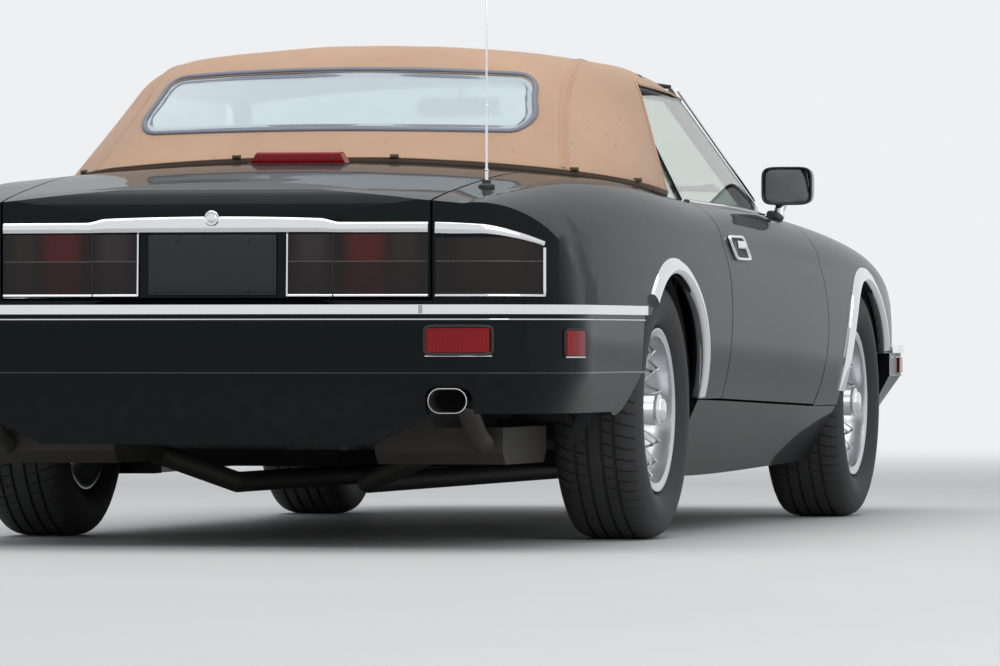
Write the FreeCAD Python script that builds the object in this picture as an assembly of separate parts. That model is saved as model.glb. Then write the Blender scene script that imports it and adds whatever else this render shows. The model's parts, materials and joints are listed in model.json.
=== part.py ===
"""A two-door grand touring convertible with its fabric hood raised, on wire wheels.

Frame, in millimetres: +Z up, the car's nose points to -Y and its left side to +X.
The origin lies on the ground, at the middle of the car's length and width.
"""

import FreeCAD
import Part
import math
import os

V = FreeCAD.Vector
os.makedirs("parts", exist_ok=True)

# Overall form
LENGTH = 4820.0
FRONT_OVERHANG = 955.0
WHEELBASE = 2591.0
FRONT_TRACK = 1488.0
REAR_TRACK = 1504.0
FRONT_AXLE_Y = -LENGTH / 2 + FRONT_OVERHANG
REAR_AXLE_Y = FRONT_AXLE_Y + WHEELBASE

# Gaps
SHUT_GAP = 6.0
SEAM = 0.8
TOUCH = 0.3
GLASS_GAP = 9.0

# Panels
PANEL = 25.0
DOOR_INNER_X = 742.0
DOOR_STEP = 16.0
SILL_FRONT_Z = 326.0
SILL_REAR_Z = 350.0
LID_HALF_FRONT = 566.0
LID_HALF_REAR = 526.0
LID_FRONT_Y = 1505.0
LID_BOTTOM_Z = 603.0
TAIL_Y = 2430.0
BONNET_FRONT_Y = -2262.0
BONNET_REAR_Y = -760.0
BONNET_SWEEP = 170.0
BONNET_HALF_FRONT = 610.0
BONNET_HALF_REAR = 680.0
COWL_HALF = 735.0
COWL_REAR_Y = -560.0
CABIN_REAR_Y = 1010.0
DECK_HALF = 700.0
NOSE_HALF = 700.0
NOSE_REAR_Y = -2200.0

# Bumpers
BUMPER_TOP_FRONT_Z = 465.0
BUMPER_TOP_REAR_Z = 563.0
BLADE_HEIGHT = 23.0
BUMPER_WALL = 30.0

# Wheels
TYRE_RADIUS = 326.0
TYRE_HALF = 113.0
BEAD_RADIUS = 190.0
FLANGE_RADIUS = 207.5
RIM_HALF = 90.0
HUB_RADIUS = 45.0
HUB_BACK = -24.0
CAP_END = 78.0
SPOKE_RADIUS = 2.6
SPOKE_COUNT = 18
ARCH_RADIUS = 372.0
ARCH_Z = 300.0
KINGPIN_X = 672.0
POST_LOW_Z = 200.0
POST_HIGH_Z = 452.0

# Windscreen, as the ends and middle of its lower and upper edges
SCREEN_LOW_END = (695, -612, 868)
SCREEN_LOW_MID = (0, -812, 908)
SCREEN_TOP_END = (582, -128, 1160)
SCREEN_TOP_MID = (0, -226, 1208)

# Side glass
GLASS_LOW_X = 757.0
GLASS_LOW_Z = 855.0
GLASS_LEAN = 0.415
GLASS = 5.0

# Body sections, front to rear. Each is a half outline from the underside up to the middle of the top:
# y, base x, base z, low x, low z, wide x, wide z, top x, top z, deck x, deck z, crown z
SECTIONS = [
    (-2420, 640, 250, 725, 330, 760, 470, 742, 590, 676, 645, 668),
    (-2050, 700, 190, 804, 320, 834, 480, 820, 640, 750, 714, 740),
    (-1437, 760, 170, 852, 320, 880, 500, 862, 690, 775, 790, 830),
    (-760, 770, 160, 864, 325, 893, 520, 872, 716, 776, 832, 882),
    (0, 775, 150, 864, 335, 895, 530, 874, 740, 778, 856, 905),
    (620, 775, 150, 866, 345, 896, 540, 876, 758, 772, 867, 918),
    (1154, 770, 170, 862, 350, 892, 550, 870, 775, 740, 900, 950),
    (1600, 740, 200, 845, 350, 880, 550, 855, 770, 690, 900, 935),
    (2000, 700, 230, 815, 350, 852, 550, 828, 745, 640, 862, 892),
    (2420, 640, 260, 740, 350, 785, 550, 765, 690, 580, 785, 820),
]
CORNER_BULGE = 0.17


def box(x0, x1, y0, y1, z0, z1):
    return Part.makeBox(x1 - x0, y1 - y0, z1 - z0, V(x0, y0, z0))


def cylinder_x(radius, x0, x1, y, z):
    return Part.makeCylinder(radius, x1 - x0, V(x0, y, z), V(1, 0, 0))


def mirrored(shape):
    return shape.mirror(V(0, 0, 0), V(1, 0, 0))


def both_sides(shape):
    return Part.makeCompound([shape, mirrored(shape)])


def outline(place, start, steps):
    """A closed face. place maps two plane coordinates to a point. A step is an end point, or a mid and an end point of an arc."""
    edges = []
    here = start
    for step in steps:
        if len(step) == 2:
            edges.append(Part.makeLine(place(*here), place(*step)))
            here = step
        else:
            mid, end = step[:2], step[2:]
            edges.append(Part.Arc(place(*here), place(*mid), place(*end)).toShape())
            here = end
    if math.dist(here, start) > 1e-6:
        edges.append(Part.makeLine(place(*here), place(*start)))
    return Part.Wire(edges)


def prism_side(start, steps, x0, x1):
    """Extrudes an outline drawn in y and z across the car from x0 to x1."""
    wire = outline(lambda y, z: V(x0, y, z), start, steps)
    return Part.Face(wire).extrude(V(x1 - x0, 0, 0))


def prism_plan(start, steps, z0, z1):
    """Extrudes an outline drawn in x and y upwards from z0 to z1."""
    wire = outline(lambda x, y: V(x, y, z0), start, steps)
    return Part.Face(wire).extrude(V(0, 0, z1 - z0))


def section_wire(row, inset):
    """One closed body section, moved inwards by inset."""
    y, bx, bz, lx, lz, wx, wz, tx, tz, dx, dz, cz = row
    base = (bx - inset, bz + inset)
    low = (lx - inset, lz)
    wide = (wx - inset, wz)
    top = (tx - inset, tz - 0.3 * inset)
    deck = (dx - 0.3 * inset, dz - inset)
    crown = cz - inset
    across, up = deck[0] - top[0], deck[1] - top[1]
    mid = ((top[0] + deck[0]) / 2 + CORNER_BULGE * up, (top[1] + deck[1]) / 2 - CORNER_BULGE * across)

    def p(point, side=1):
        return V(side * point[0], y, point[1])

    edges = [Part.makeLine(p(base), p(low))]
    edges.append(Part.Arc(p(low), p(wide), p(top)).toShape())
    edges.append(Part.Arc(p(top), p(mid), p(deck)).toShape())
    edges.append(Part.Arc(p(deck), V(0, y, crown), p(deck, -1)).toShape())
    edges.append(Part.Arc(p(deck, -1), p(mid, -1), p(top, -1)).toShape())
    edges.append(Part.Arc(p(top, -1), p(wide, -1), p(low, -1)).toShape())
    edges.append(Part.makeLine(p(low, -1), p(base, -1)))
    edges.append(Part.makeLine(p(base, -1), p(base)))
    return Part.Wire(edges)


def side_trim(inset):
    """The nose and tail profiles seen from the side, as a block across the car."""
    t = inset
    return prism_side(
        (-2150, 1000),
        [
            (-2150, 730 - t),
            (-2262, 682 - t),
            (-2308 + t, 672 - t, -2330 + t, 625),
            (-2338 + t, 500),
            (-2300 + t, 300),
            (-2180 + t, 100),
            (2060 - t, 100),
            (2200 - t, 300),
            (2256 - t, 600),
            (2251 - t, 785),
            (2236 - t, 842 - t, 2165, 864 - t),
            (1900, 924 - t),
            (1900, 1000),
        ],
        -1000,
        1000,
    )


def plan_trim(inset):
    """The nose and tail outlines seen from above, as a tall block."""
    t = inset
    return prism_plan(
        (-660 + t, -2290 + t),
        [
            (0, -2338 + t, 660 - t, -2290 + t),
            (762 - t, -2222 + t, 822 - t, -2080 + t),
            (960 - t, -1600),
            (960 - t, 1500),
            (850 - t, 1940 - t),
            (794 - t, 2126 - t, 600 - t, 2230 - t),
            (0, 2262 - t, -600 + t, 2230 - t),
            (-794 + t, 2126 - t, -850 + t, 1940 - t),
            (-960 + t, 1500),
            (-960 + t, -1600),
            (-822 + t, -2080 + t),
            (-762 + t, -2222 + t, -660 + t, -2290 + t),
        ],
        50,
        1100,
    )


def body_loft(inset):
    """The lower body before its nose and tail are trimmed."""
    return Part.makeLoft([section_wire(row, inset) for row in SECTIONS], True, False)


def end_form(inset):
    """The nose and tail faces alone."""
    return side_trim(inset).common(plan_trim(inset))


def body_form(inset):
    """The whole lower body as one solid, inset from the outer skin."""
    return body_loft(inset).common(side_trim(inset)).common(plan_trim(inset))



def cut(shape, *tools):
    for tool in tools:
        shape = shape.cut(tool)
    return shape


def export(name, shape):
    shape.exportStep("parts/" + name + ".step")


def fuse(*shapes):
    return shapes[0].multiFuse(list(shapes[1:])).removeSplitter()


def door_outline(grow):
    """The door seen from the side, grown by a gap, as a block across the left half."""
    g = grow
    return prism_side(
        (-735 - g, SILL_FRONT_Z - g),
        [
            (474 + g, SILL_REAR_Z - g),
            (470 + g, 650),
            (482 + g, 710, 508 + g, 760),
            (520 + g, 870),
            (524 + g, 1000),
            (-722 - g, 1000),
            (-722 - g, 812),
            (-812 - g, 600, -735 - g, SILL_FRONT_Z - g),
        ],
        600,
        1000,
    )


def bonnet_outline(grow):
    g = grow
    front, rear = BONNET_HALF_FRONT + g, BONNET_HALF_REAR + g
    return prism_plan(
        (-front, BONNET_FRONT_Y - g),
        [
            (front, BONNET_FRONT_Y - g),
            (rear, BONNET_REAR_Y + g),
            (0, BONNET_REAR_Y - BONNET_SWEEP + g, -rear, BONNET_REAR_Y + g),
        ],
        560,
        1000,
    )


def lid_outline(grow):
    g = grow
    front, rear = LID_HALF_FRONT + g, LID_HALF_REAR + g
    return prism_plan(
        (-front, LID_FRONT_Y - g),
        [(front, LID_FRONT_Y - g), (rear, TAIL_Y), (-rear, TAIL_Y)],
        LID_BOTTOM_Z - g,
        1000,
    )


def arches(radius, x0, x1):
    front = cylinder_x(radius, x0, x1, FRONT_AXLE_Y, ARCH_Z)
    rear = cylinder_x(radius, x0, x1, REAR_AXLE_Y, ARCH_Z)
    return Part.makeCompound([front, rear])


outer = body_form(0)
inner = body_form(PANEL)
keep_out = body_form(-0.4)
shell = outer.cut(inner)

# Doors
door_gap = door_outline(SHUT_GAP)
door_edge = door_outline(0)
door_core = prism_side(
    (-735 + DOOR_STEP, SILL_FRONT_Z + DOOR_STEP),
    [
        (474 - DOOR_STEP, SILL_REAR_Z + DOOR_STEP),
        (470 - DOOR_STEP, 650),
        (482 - DOOR_STEP, 710, 508 - DOOR_STEP, 760),
        (524 - DOOR_STEP, 1000),
        (-722 + DOOR_STEP, 1000),
        (-722 + DOOR_STEP, 812),
        (-812 + DOOR_STEP, 600, -735 + DOOR_STEP, SILL_FRONT_Z + DOOR_STEP),
    ],
    600,
    1000,
)
door_block = outer.common(door_edge).common(box(DOOR_INNER_X, 1000, -900, 600, 300, 1000))
door_rim = door_edge.cut(door_core).common(inner)
door = door_block.cut(door_rim)


def glass_slab(y0, y1, z0, z1, thick, out):
    """A leaning slab of side glass, before its outline is cut. out moves it outwards."""
    x0 = GLASS_LOW_X + out - GLASS_LEAN * (z0 - GLASS_LOW_Z)
    x1 = GLASS_LOW_X + out - GLASS_LEAN * (z1 - GLASS_LOW_Z)
    wire = outline(lambda x, z: V(x, y0, z), (x0, z0), [(x0 - thick, z0), (x1 - thick, z1), (x1, z1)])
    return Part.Face(wire).extrude(V(0, y1 - y0, 0))


door_glass_outline = prism_side(
    (-500, 830),
    [(430, 830), (528, 1105), (512, 1146, 455, 1158), (-50, 1148), (-88, 1132), (-514, 865)],
    500,
    900,
)
door_glass = glass_slab(-700, 700, 800, 1200, GLASS, 0).common(door_glass_outline)
slot = glass_slab(-700, 700, 829.7, 900, GLASS + 2 * TOUCH, TOUCH).common(box(600, 900, -530, 470, 829, 900))
door = door.cut(slot)

# Mirror and handle share one node, both fixed to the door
mirror_head = prism_side((-650, 876), [(-562, 874), (-558, 974), (-600, 980), (-650, 958)], 757, 895)
mirror_foot = box(772, 822, -620, -566, 800, 880).cut(keep_out)
mirror = mirror_head.fuse(mirror_foot).removeSplitter()
handle_bar = box(878, 891, 195, 385, 728, 757)
handle_pads = [Part.makeCylinder(11, 20, V(862, y, 742), V(1, 0, 0)) for y in (218, 362)]
handle = handle_bar.multiFuse(handle_pads).cut(keep_out)

# Body panels fixed to the shell
arch_cut = arches(ARCH_RADIUS, 400, 1000)
front_zone = prism_plan(
    (BONNET_HALF_FRONT + SHUT_GAP, -TAIL_Y),
    [
        (BONNET_HALF_FRONT + SHUT_GAP, BONNET_FRONT_Y - SHUT_GAP),
        (BONNET_HALF_REAR + SHUT_GAP, BONNET_REAR_Y + SHUT_GAP - SEAM),
        (COWL_HALF + SEAM, BONNET_REAR_Y + SHUT_GAP - SEAM),
        (COWL_HALF + SEAM, COWL_REAR_Y),
        (1000, COWL_REAR_Y),
        (1000, -TAIL_Y),
    ],
    100,
    1000,
)
front_wing = cut(
    shell.common(front_zone),
    box(500, 1000, -TAIL_Y, FRONT_AXLE_Y, 0, BUMPER_TOP_FRONT_Z + SEAM),
    box(500, 1000, FRONT_AXLE_Y, -500, 0, SILL_FRONT_Z - SHUT_GAP + 2 * SEAM),
    box(0, NOSE_HALF + SEAM, -TAIL_Y, NOSE_REAR_Y + SEAM, 0, 1000),
    arch_cut,
    door_gap,
)
front_wing = max(front_wing.Solids, key=lambda piece: piece.Volume)
nose = cut(
    shell.common(box(-NOSE_HALF, NOSE_HALF, -TAIL_Y, NOSE_REAR_Y, BUMPER_TOP_FRONT_Z + SEAM, 1000)),
    bonnet_outline(SHUT_GAP),
)
grille_hole = box(-330, 330, -TAIL_Y, -2200, 548, 650)
LAMP_PLACES = ((430, 602), (586, 602))
LAMP_RADIUS = 62.0
lamp_holes = [
    Part.makeCylinder(LAMP_RADIUS + TOUCH, 300, V(side * x, -TAIL_Y, z), V(0, 1, 0))
    for x, z in LAMP_PLACES
    for side in (1, -1)
]
nose = cut(nose, grille_hole, *lamp_holes)
bonnet = shell.common(bonnet_outline(0))
scuttle = shell.common(
    prism_plan(
        (-COWL_HALF, BONNET_REAR_Y + SHUT_GAP),
        [
            (-BONNET_HALF_REAR - SHUT_GAP, BONNET_REAR_Y + SHUT_GAP),
            (0, BONNET_REAR_Y - BONNET_SWEEP + SHUT_GAP, BONNET_HALF_REAR + SHUT_GAP, BONNET_REAR_Y + SHUT_GAP),
            (COWL_HALF, BONNET_REAR_Y + SHUT_GAP),
            (COWL_HALF, COWL_REAR_Y),
            (-COWL_HALF, COWL_REAR_Y),
        ],
        700,
        1000,
    )
)
rear_zone = prism_plan(
    (1000, 400),
    [
        (DOOR_INNER_X, 400),
        (DOOR_INNER_X, CABIN_REAR_Y - SEAM),
        (DECK_HALF + SEAM, CABIN_REAR_Y - SEAM),
        (DECK_HALF + SEAM, LID_FRONT_Y - SHUT_GAP + SEAM),
        (LID_HALF_FRONT + SHUT_GAP, LID_FRONT_Y - SHUT_GAP + SEAM),
        (LID_HALF_REAR + SHUT_GAP, TAIL_Y),
        (1000, TAIL_Y),
    ],
    100,
    1100,
)
LAMP_X, LAMP_Y, LAMP_LOW_Z, LAMP_TOP_Z = 547.0, 2112.0, 611.0, 756.0
wing_lamp_zone = box(LAMP_X, 1000, LAMP_Y, TAIL_Y, LAMP_LOW_Z, LAMP_TOP_Z - 9)
rear_wing = cut(
    shell.common(rear_zone),
    box(500, 1000, REAR_AXLE_Y, TAIL_Y, 0, BUMPER_TOP_REAR_Z + SEAM),
    box(500, 1000, 400, REAR_AXLE_Y, 0, SILL_REAR_Z + SEAM),
    arch_cut,
    door_gap,
    box(LAMP_X - SEAM, 1000, LAMP_Y - SEAM, TAIL_Y, LAMP_LOW_Z - SEAM, LAMP_TOP_Z - 9 + SEAM),
)
wing_lamp = shell.common(wing_lamp_zone)
deck = shell.common(box(-DECK_HALF, DECK_HALF, CABIN_REAR_Y, LID_FRONT_Y - SHUT_GAP, 800, 1000))
core = inner.common(box(-540, 540, LID_FRONT_Y - 20, LID_FRONT_Y + 20, 800, 1000))
gutter = core.common(box(-540, 540, LID_FRONT_Y - 20, LID_FRONT_Y - SHUT_GAP, 800, 1000))
lowered = core.copy()
lowered.translate(V(0, 0, -TOUCH))
gutter = gutter.fuse(lowered)
lowered = core.copy()
lowered.translate(V(0, 0, -8))
gutter = gutter.cut(lowered.fuse(box(-1000, 1000, LID_FRONT_Y - 30, LID_FRONT_Y + 30, 700, 840)))
deck = deck.fuse(gutter).removeSplitter()
tail_zone = lid_outline(SHUT_GAP - SEAM)
tail_zone.translate(V(0, 0, BUMPER_TOP_REAR_Z + SEAM - LID_BOTTOM_Z + SHUT_GAP - SEAM))
tail = shell.common(tail_zone).common(box(-600, 600, 2100, TAIL_Y, 500, LID_BOTTOM_Z - SHUT_GAP))
lid = shell.common(lid_outline(0))
sill = cut(
    shell.common(box(700, 1000, FRONT_AXLE_Y, REAR_AXLE_Y, 100, 400)),
    arches(ARCH_RADIUS + 4, 400, 1000),
    prism_side(
        (-1200, SILL_FRONT_Z - SHUT_GAP - 2.8),
        [(-735, SILL_FRONT_Z - SHUT_GAP), (474, SILL_REAR_Z - SHUT_GAP), (900, SILL_REAR_Z), (900, 500), (-1200, 500)],
        600,
        1000,
    ),
)

# Bumpers, wrapped round each end
def bumper_plan(end, grow, z):
    """The bumper seen from above at height z. end is 1 at the tail and -1 at the nose."""
    reach = 2400 + grow
    near, side, start = (893, 889, 1500) if end > 0 else (866, 850, 1830)
    near, side = near + grow, side + grow

    def p(x, y):
        return V(x, end * y, z)

    edges = [
        Part.makeLine(p(near, start), p(side, 2010)),
        Part.Arc(p(side, 2010), p(side - 56, reach - 152), p(620, reach - 36)).toShape(),
        Part.Arc(p(620, reach - 36), p(0, reach), p(-620, reach - 36)).toShape(),
        Part.Arc(p(-620, reach - 36), p(-side + 56, reach - 152), p(-side, 2010)).toShape(),
        Part.makeLine(p(-side, 2010), p(-near, start)),
        Part.makeLine(p(-near, start), p(near, start)),
    ]
    return Part.Wire(edges)


# Top, crease and lower edge of each bumper, and how far its lower edge leans in
BUMPERS = {1: (BUMPER_TOP_REAR_Z, 423, 250, 70), -1: (BUMPER_TOP_FRONT_Z, 400, 285, 62)}


def bumper_solid(end, grow, deeper):
    """Straight down to the crease, then leaning in to the lower edge. deeper takes it past both edges."""
    top, crease, low, lean = BUMPERS[end]
    wires = [bumper_plan(end, grow - lean, low - deeper), bumper_plan(end, grow, crease)]
    wires.append(bumper_plan(end, grow, top + deeper))
    return Part.makeLoft(wires, True, True)


rear_bumper = bumper_solid(1, 0, 0).cut(bumper_solid(1, -BUMPER_WALL, 1))
rear_side = prism_side(
    (1500, BUMPER_TOP_REAR_Z),
    [(1500, 560), (1530, 423), (1560, 355, 1690, 326), (1900, 326), (1900, 240), (TAIL_Y, 240), (TAIL_Y, BUMPER_TOP_REAR_Z)],
    -1000,
    1000,
)
rear_edge = outline(
    lambda x, z: V(x, 1900, z),
    (-1000, 326),
    [(-560, 326), (-410, 251), (410, 251), (560, 326), (1000, 326), (1000, 600), (-1000, 600)],
)
rear_edge = Part.Face(rear_edge).extrude(V(0, 530, 0)).fuse(box(-1000, 1000, 1400, 1901, 240, 600))
rear_bumper = rear_bumper.common(rear_side).common(rear_edge)
front_bumper = bumper_solid(-1, 0, 0).cut(bumper_solid(-1, -BUMPER_WALL, 1))
front_bumper = front_bumper.common(box(-1000, 1000, -TAIL_Y, -1850, 285, BUMPER_TOP_FRONT_Z))
intake = box(-420, 420, -TAIL_Y, -2250, 318, 378)
front_bumper = front_bumper.cut(intake)


def blade(end, z0):
    solid = Part.Face(bumper_plan(end, 9, z0)).extrude(V(0, 0, BLADE_HEIGHT))
    return solid.cut(keep_out)


rear_blade = blade(1, BUMPER_TOP_REAR_Z + TOUCH).common(box(-1000, 1000, 1502, TAIL_Y, 0, 900))
front_blade = blade(-1, BUMPER_TOP_FRONT_Z + TOUCH).common(box(-1000, 1000, -TAIL_Y, -1838, 0, 900))
blades = Part.makeCompound([rear_blade, front_blade])

# Exhaust tips through the rear bumper
TIP_X, TIP_Z = 606.0, 357.0


def tip_outline(grow, y0, y1):
    """An oval along the car, 95 wide and 59 high."""
    r, half = 29.5 + grow, 18.0
    wire = outline(
        lambda x, z: V(TIP_X + x, y0, TIP_Z + z),
        (-half, -r),
        [(half, -r), (half + r, 0, half, r), (-half, r), (-half - r, 0, -half, -r)],
    )
    return Part.Face(wire).extrude(V(0, y1 - y0, 0))


tip = tip_outline(0, 2180, 2352).cut(tip_outline(-3, 2200, 2360))
tip_hole = tip_outline(9, 2100, TAIL_Y)
tip_notch = box(TIP_X - 56, TIP_X + 56, 2100, TAIL_Y, 240, TIP_Z)
rear_bumper = rear_bumper.cut(both_sides(tip_hole.fuse(tip_notch)))
PIPE_RADIUS = 26.0
PIPE_X, PIPE_Z = 170.0, 145.0


def pipe_run(points, radius):
    """A round pipe through the given points, with ball joints at the bends."""
    pieces = []
    for start, end in zip(points, points[1:]):
        a, b = V(*start), V(*end)
        pieces.append(Part.makeCylinder(radius, (b - a).Length, a, b - a))
        pieces.append(Part.makeSphere(radius, b))
    return pieces[:-1]


silencer = prism_side((1560, 200), [(1530, 230), (1530, 289.7), (1980, 289.7), (1980, 230), (1950, 200)], 330, 650)
front_run = pipe_run(
    [(PIPE_X, -1100, 299.7), (PIPE_X, -1100, PIPE_Z), (PIPE_X, 1440, PIPE_Z), (420, 1570, 245)], PIPE_RADIUS
)
tail_run = pipe_run([(TIP_X, 1960, 245), (TIP_X, 2060, 270), (TIP_X, 2190, TIP_Z)], PIPE_RADIUS)
exhaust_half = fuse(tip, silencer, *front_run, *tail_run)
exhaust = both_sides(exhaust_half)

# Lamps and front face
rear_skin = bumper_solid(1, 4, 0).cut(bumper_solid(1, TOUCH, 1))
front_skin = bumper_solid(-1, 4, 0).cut(bumper_solid(-1, TOUCH, 1))
rear_reflector = rear_skin.common(box(560, 708, 2200, TAIL_Y, 472, 530))
side_marker = rear_skin.common(box(800, 1000, 2130, 2208, 464, 524))
front_marker = front_skin.common(box(600, 1000, -2180, -2060, 408, 452))
bumper_lamps = both_sides(Part.makeCompound([rear_reflector, side_marker, front_marker]))
headlamps = Part.makeCompound(
    [
        Part.makeCylinder(LAMP_RADIUS, 38, V(side * x, -2322 + 0.03 * x, z), V(0, 1, 0))
        for x, z in LAMP_PLACES
        for side in (1, -1)
    ]
)
grille_frame = box(-330 + TOUCH, 330 - TOUCH, -2332, -2300, 548 + TOUCH, 650 - TOUCH).cut(
    box(-318, 318, -2400, -2200, 560, 638)
)
bars = [box(-318, 318, -2322, -2306, 572 + 14 * k, 576 + 14 * k) for k in range(5)]
posts = [box(x - 3, x + 3, -2324, -2304, 560, 638) for x in (-160, 0, 160)]
grille = fuse(grille_frame, *bars, *posts)

# Lid furniture: smoked lamps each side of the plate, chrome finisher, plate and high brake lamp

def on_lid(grow, x0, x1, z0, z1):
    """A plate lying on the lid's rear face, with its own thickness."""
    return body_on_lid[grow].common(box(x0, x1, 2200, TAIL_Y, z0, z1))


body_on_lid = {grow: end_form(-grow).cut(end_form(-0.4)) for grow in (6, 12)}
lamp_outer = on_lid(6, 300.8, 530, LAMP_LOW_Z, LAMP_TOP_Z)
lamp_inner = on_lid(6, 186, 300, LAMP_LOW_Z, LAMP_TOP_Z)
lid_lamps = both_sides(Part.makeCompound([lamp_outer, lamp_inner]))
brake_lamp = box(-127, 127, 1434, 1490, 880, 976).cut(keep_out)
finisher = fuse(on_lid(12, -530, 530, LAMP_TOP_Z + SEAM, 785), on_lid(12, -300, 300, 780, 802))
PLATE_Z = 682.0
PLATE_BOLT_X, PLATE_BOLT_Z, PLATE_BOLT_RADIUS = 88.9, 60.3, 3.5
plate_bolts = [
    Part.makeCylinder(PLATE_BOLT_RADIUS, 60, V(sx * PLATE_BOLT_X, 2236, PLATE_Z + sz * PLATE_BOLT_Z), V(0, 1, 0))
    for sx in (1, -1)
    for sz in (1, -1)
]
# The plate's outer face is flat, so that all four bolts stop on one plane
PLATE_FACE_Y = 2263.0
plate = cut(box(-160, 160, 2200, PLATE_FACE_Y, 609, 755), end_form(-0.4), *plate_bolts)
lid = cut(lid, *plate_bolts)
lid_trim = Part.makeCompound([finisher, plate])

# Bright lips round the wheel arches
lip_ring = arches(ARCH_RADIUS + 26, 700, 1000).cut(arches(ARCH_RADIUS - 2, 700, 1000))
lip_wall = body_loft(-17).cut(body_loft(-0.4))
lip_zone = box(700, 1000, FRONT_AXLE_Y - 420, REAR_AXLE_Y + 420, SILL_REAR_Z + SEAM, 900)
arch_lip = lip_wall.common(lip_ring).common(lip_zone)
arch_lip = cut(arch_lip, bumper_solid(1, 1, 1), bumper_solid(-1, 1, 1), blade(1, BUMPER_TOP_REAR_Z), blade(-1, BUMPER_TOP_FRONT_Z))

# Windscreen
def lerp(a, b, t):
    return tuple(a[i] + (b[i] - a[i]) * t for i in range(3))


def screen_slab(wider, low, high, thick, back):
    """A curved slab along the windscreen. low and high stretch it past the glass, back moves it inwards."""
    run = math.dist(SCREEN_LOW_END[1:], SCREEN_TOP_END[1:])
    wires = []
    for t in (-low / run, 1 + high / run):
        end = lerp(SCREEN_LOW_END, SCREEN_TOP_END, t)
        mid = lerp(SCREEN_LOW_MID, SCREEN_TOP_MID, t)
        dy, dz = end[1] - mid[1], end[2] - mid[2]
        bow = math.hypot(dy, dz)
        radius = (end[0] ** 2 + bow**2) / (2 * bow)
        half = end[0] + wider
        reach = radius - math.sqrt(radius**2 - half**2)

        def p(x, drop, depth):
            along = (drop + depth + back) / bow
            return V(x, mid[1] + dy * along, mid[2] + dz * along)

        edges = [
            Part.Arc(p(-half, reach, 0), p(0, 0, 0), p(half, reach, 0)).toShape(),
            Part.makeLine(p(half, reach, 0), p(half, reach, thick)),
            Part.Arc(p(half, reach, thick), p(0, 0, thick), p(-half, reach, thick)).toShape(),
            Part.makeLine(p(-half, reach, thick), p(-half, reach, 0)),
        ]
        wires.append(Part.Wire(edges))
    return Part.makeLoft(wires, True, True)


screen_glass = screen_slab(-TOUCH, 0, 0, 9, 10)
screen_hole = screen_slab(0, 0.5, 0.5, 200, -80)
screen_frame = screen_slab(34, 60, 30, 42, 0).cut(screen_hole).cut(keep_out)
screen_lip = screen_slab(2, 3, 3, 8, 19.4).cut(screen_slab(-10, -10, -10, 200, -80))
screen_frame = screen_frame.fuse(screen_lip).removeSplitter()
door_clear = body_loft(-SHUT_GAP).common(both_sides(box(728, 900, -760, -400, 700, 1000)))
screen_frame = screen_frame.cut(door_clear)
screen_glass = screen_glass.cut(keep_out)

# Hood: plan outlines at rising heights, topped by a crown
# z, half width at front, half width at rear, y of the corner's start, corner mid x, corner mid y, rear x, rear y, y at centre
HOOD_PLANS = [
    (840, 760, 806, 900, 735, 1200, 560, 1400, 1455),
    (960, 702, 752, 780, 672, 1070, 530, 1250, 1310),
    (1080, 650, 700, 660, 622, 915, 500, 1090, 1155),
    (1180, 604, 654, 560, 585, 790, 470, 950, 1024),
    (1300, 500, 560, 420, 520, 620, 430, 790, 868),
]
# y, half width, z at the side, z at the middle
HOOD_CROWN = [
    (-330, 700, 1108, 1206),
    (-150, 700, 1142, 1240),
    (150, 700, 1182, 1273),
    (550, 700, 1200, 1278),
    (850, 700, 1186, 1262),
    (1100, 700, 1150, 1226),
]
HOOD_WALL = 14.0


def hood_plan(row, inset):
    z, half0, half1, side_y, mx, my, rx, ry, cy = row
    t = inset
    f0, f1 = half0 - t, half1 - t
    edges = [
        Part.makeLine(V(-f0, -330, z), V(f0, -330, z)),
        Part.makeLine(V(f0, -330, z), V(f1, side_y, z)),
        Part.Arc(V(f1, side_y, z), V(mx - 0.8 * t, my - 0.6 * t, z), V(rx - 0.3 * t, ry - t, z)).toShape(),
        Part.Arc(V(rx - 0.3 * t, ry - t, z), V(0, cy - t, z), V(-rx + 0.3 * t, ry - t, z)).toShape(),
        Part.Arc(V(-rx + 0.3 * t, ry - t, z), V(-mx + 0.8 * t, my - 0.6 * t, z), V(-f1, side_y, z)).toShape(),
        Part.makeLine(V(-f1, side_y, z), V(-f0, -330, z)),
    ]
    return Part.Wire(edges)


def hood_form(inset):
    stack = Part.makeLoft([hood_plan(row, inset) for row in HOOD_PLANS], True, False)
    wires = []
    for y, half, side_z, mid_z in HOOD_CROWN:
        arc = Part.Arc(V(-half, y, side_z - inset), V(0, y, mid_z - inset), V(half, y, side_z - inset))
        wires.append(
            Part.Wire(
                [
                    arc.toShape(),
                    Part.makeLine(V(half, y, side_z - inset), V(900, y, side_z - 60 - inset)),
                    Part.makeLine(V(900, y, side_z - 60 - inset), V(900, y, 700)),
                    Part.makeLine(V(900, y, 700), V(-900, y, 700)),
                    Part.makeLine(V(-900, y, 700), V(-900, y, side_z - 60 - inset)),
                    Part.makeLine(V(-900, y, side_z - 60 - inset), V(-half, y, side_z - inset)),
                ]
            )
        )
    crown = Part.makeLoft(wires, True, False)
    crown = crown.fuse(box(-900, 900, 1099, 1500, 700, 1160 - inset))
    return stack.common(crown)


hood_outer = hood_form(0)
hood_inner = hood_form(HOOD_WALL)
hood_shell = hood_outer.cut(hood_inner)
side_hole = prism_side(
    (-700, 700),
    [
        (776, 700),
        (768, 862),
        (582, 1132),
        (568, 1162, 520, 1170),
        (0, 1162),
        (-200, 1150),
        (-700, 1140),
    ],
    -1000,
    1000,
)
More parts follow.
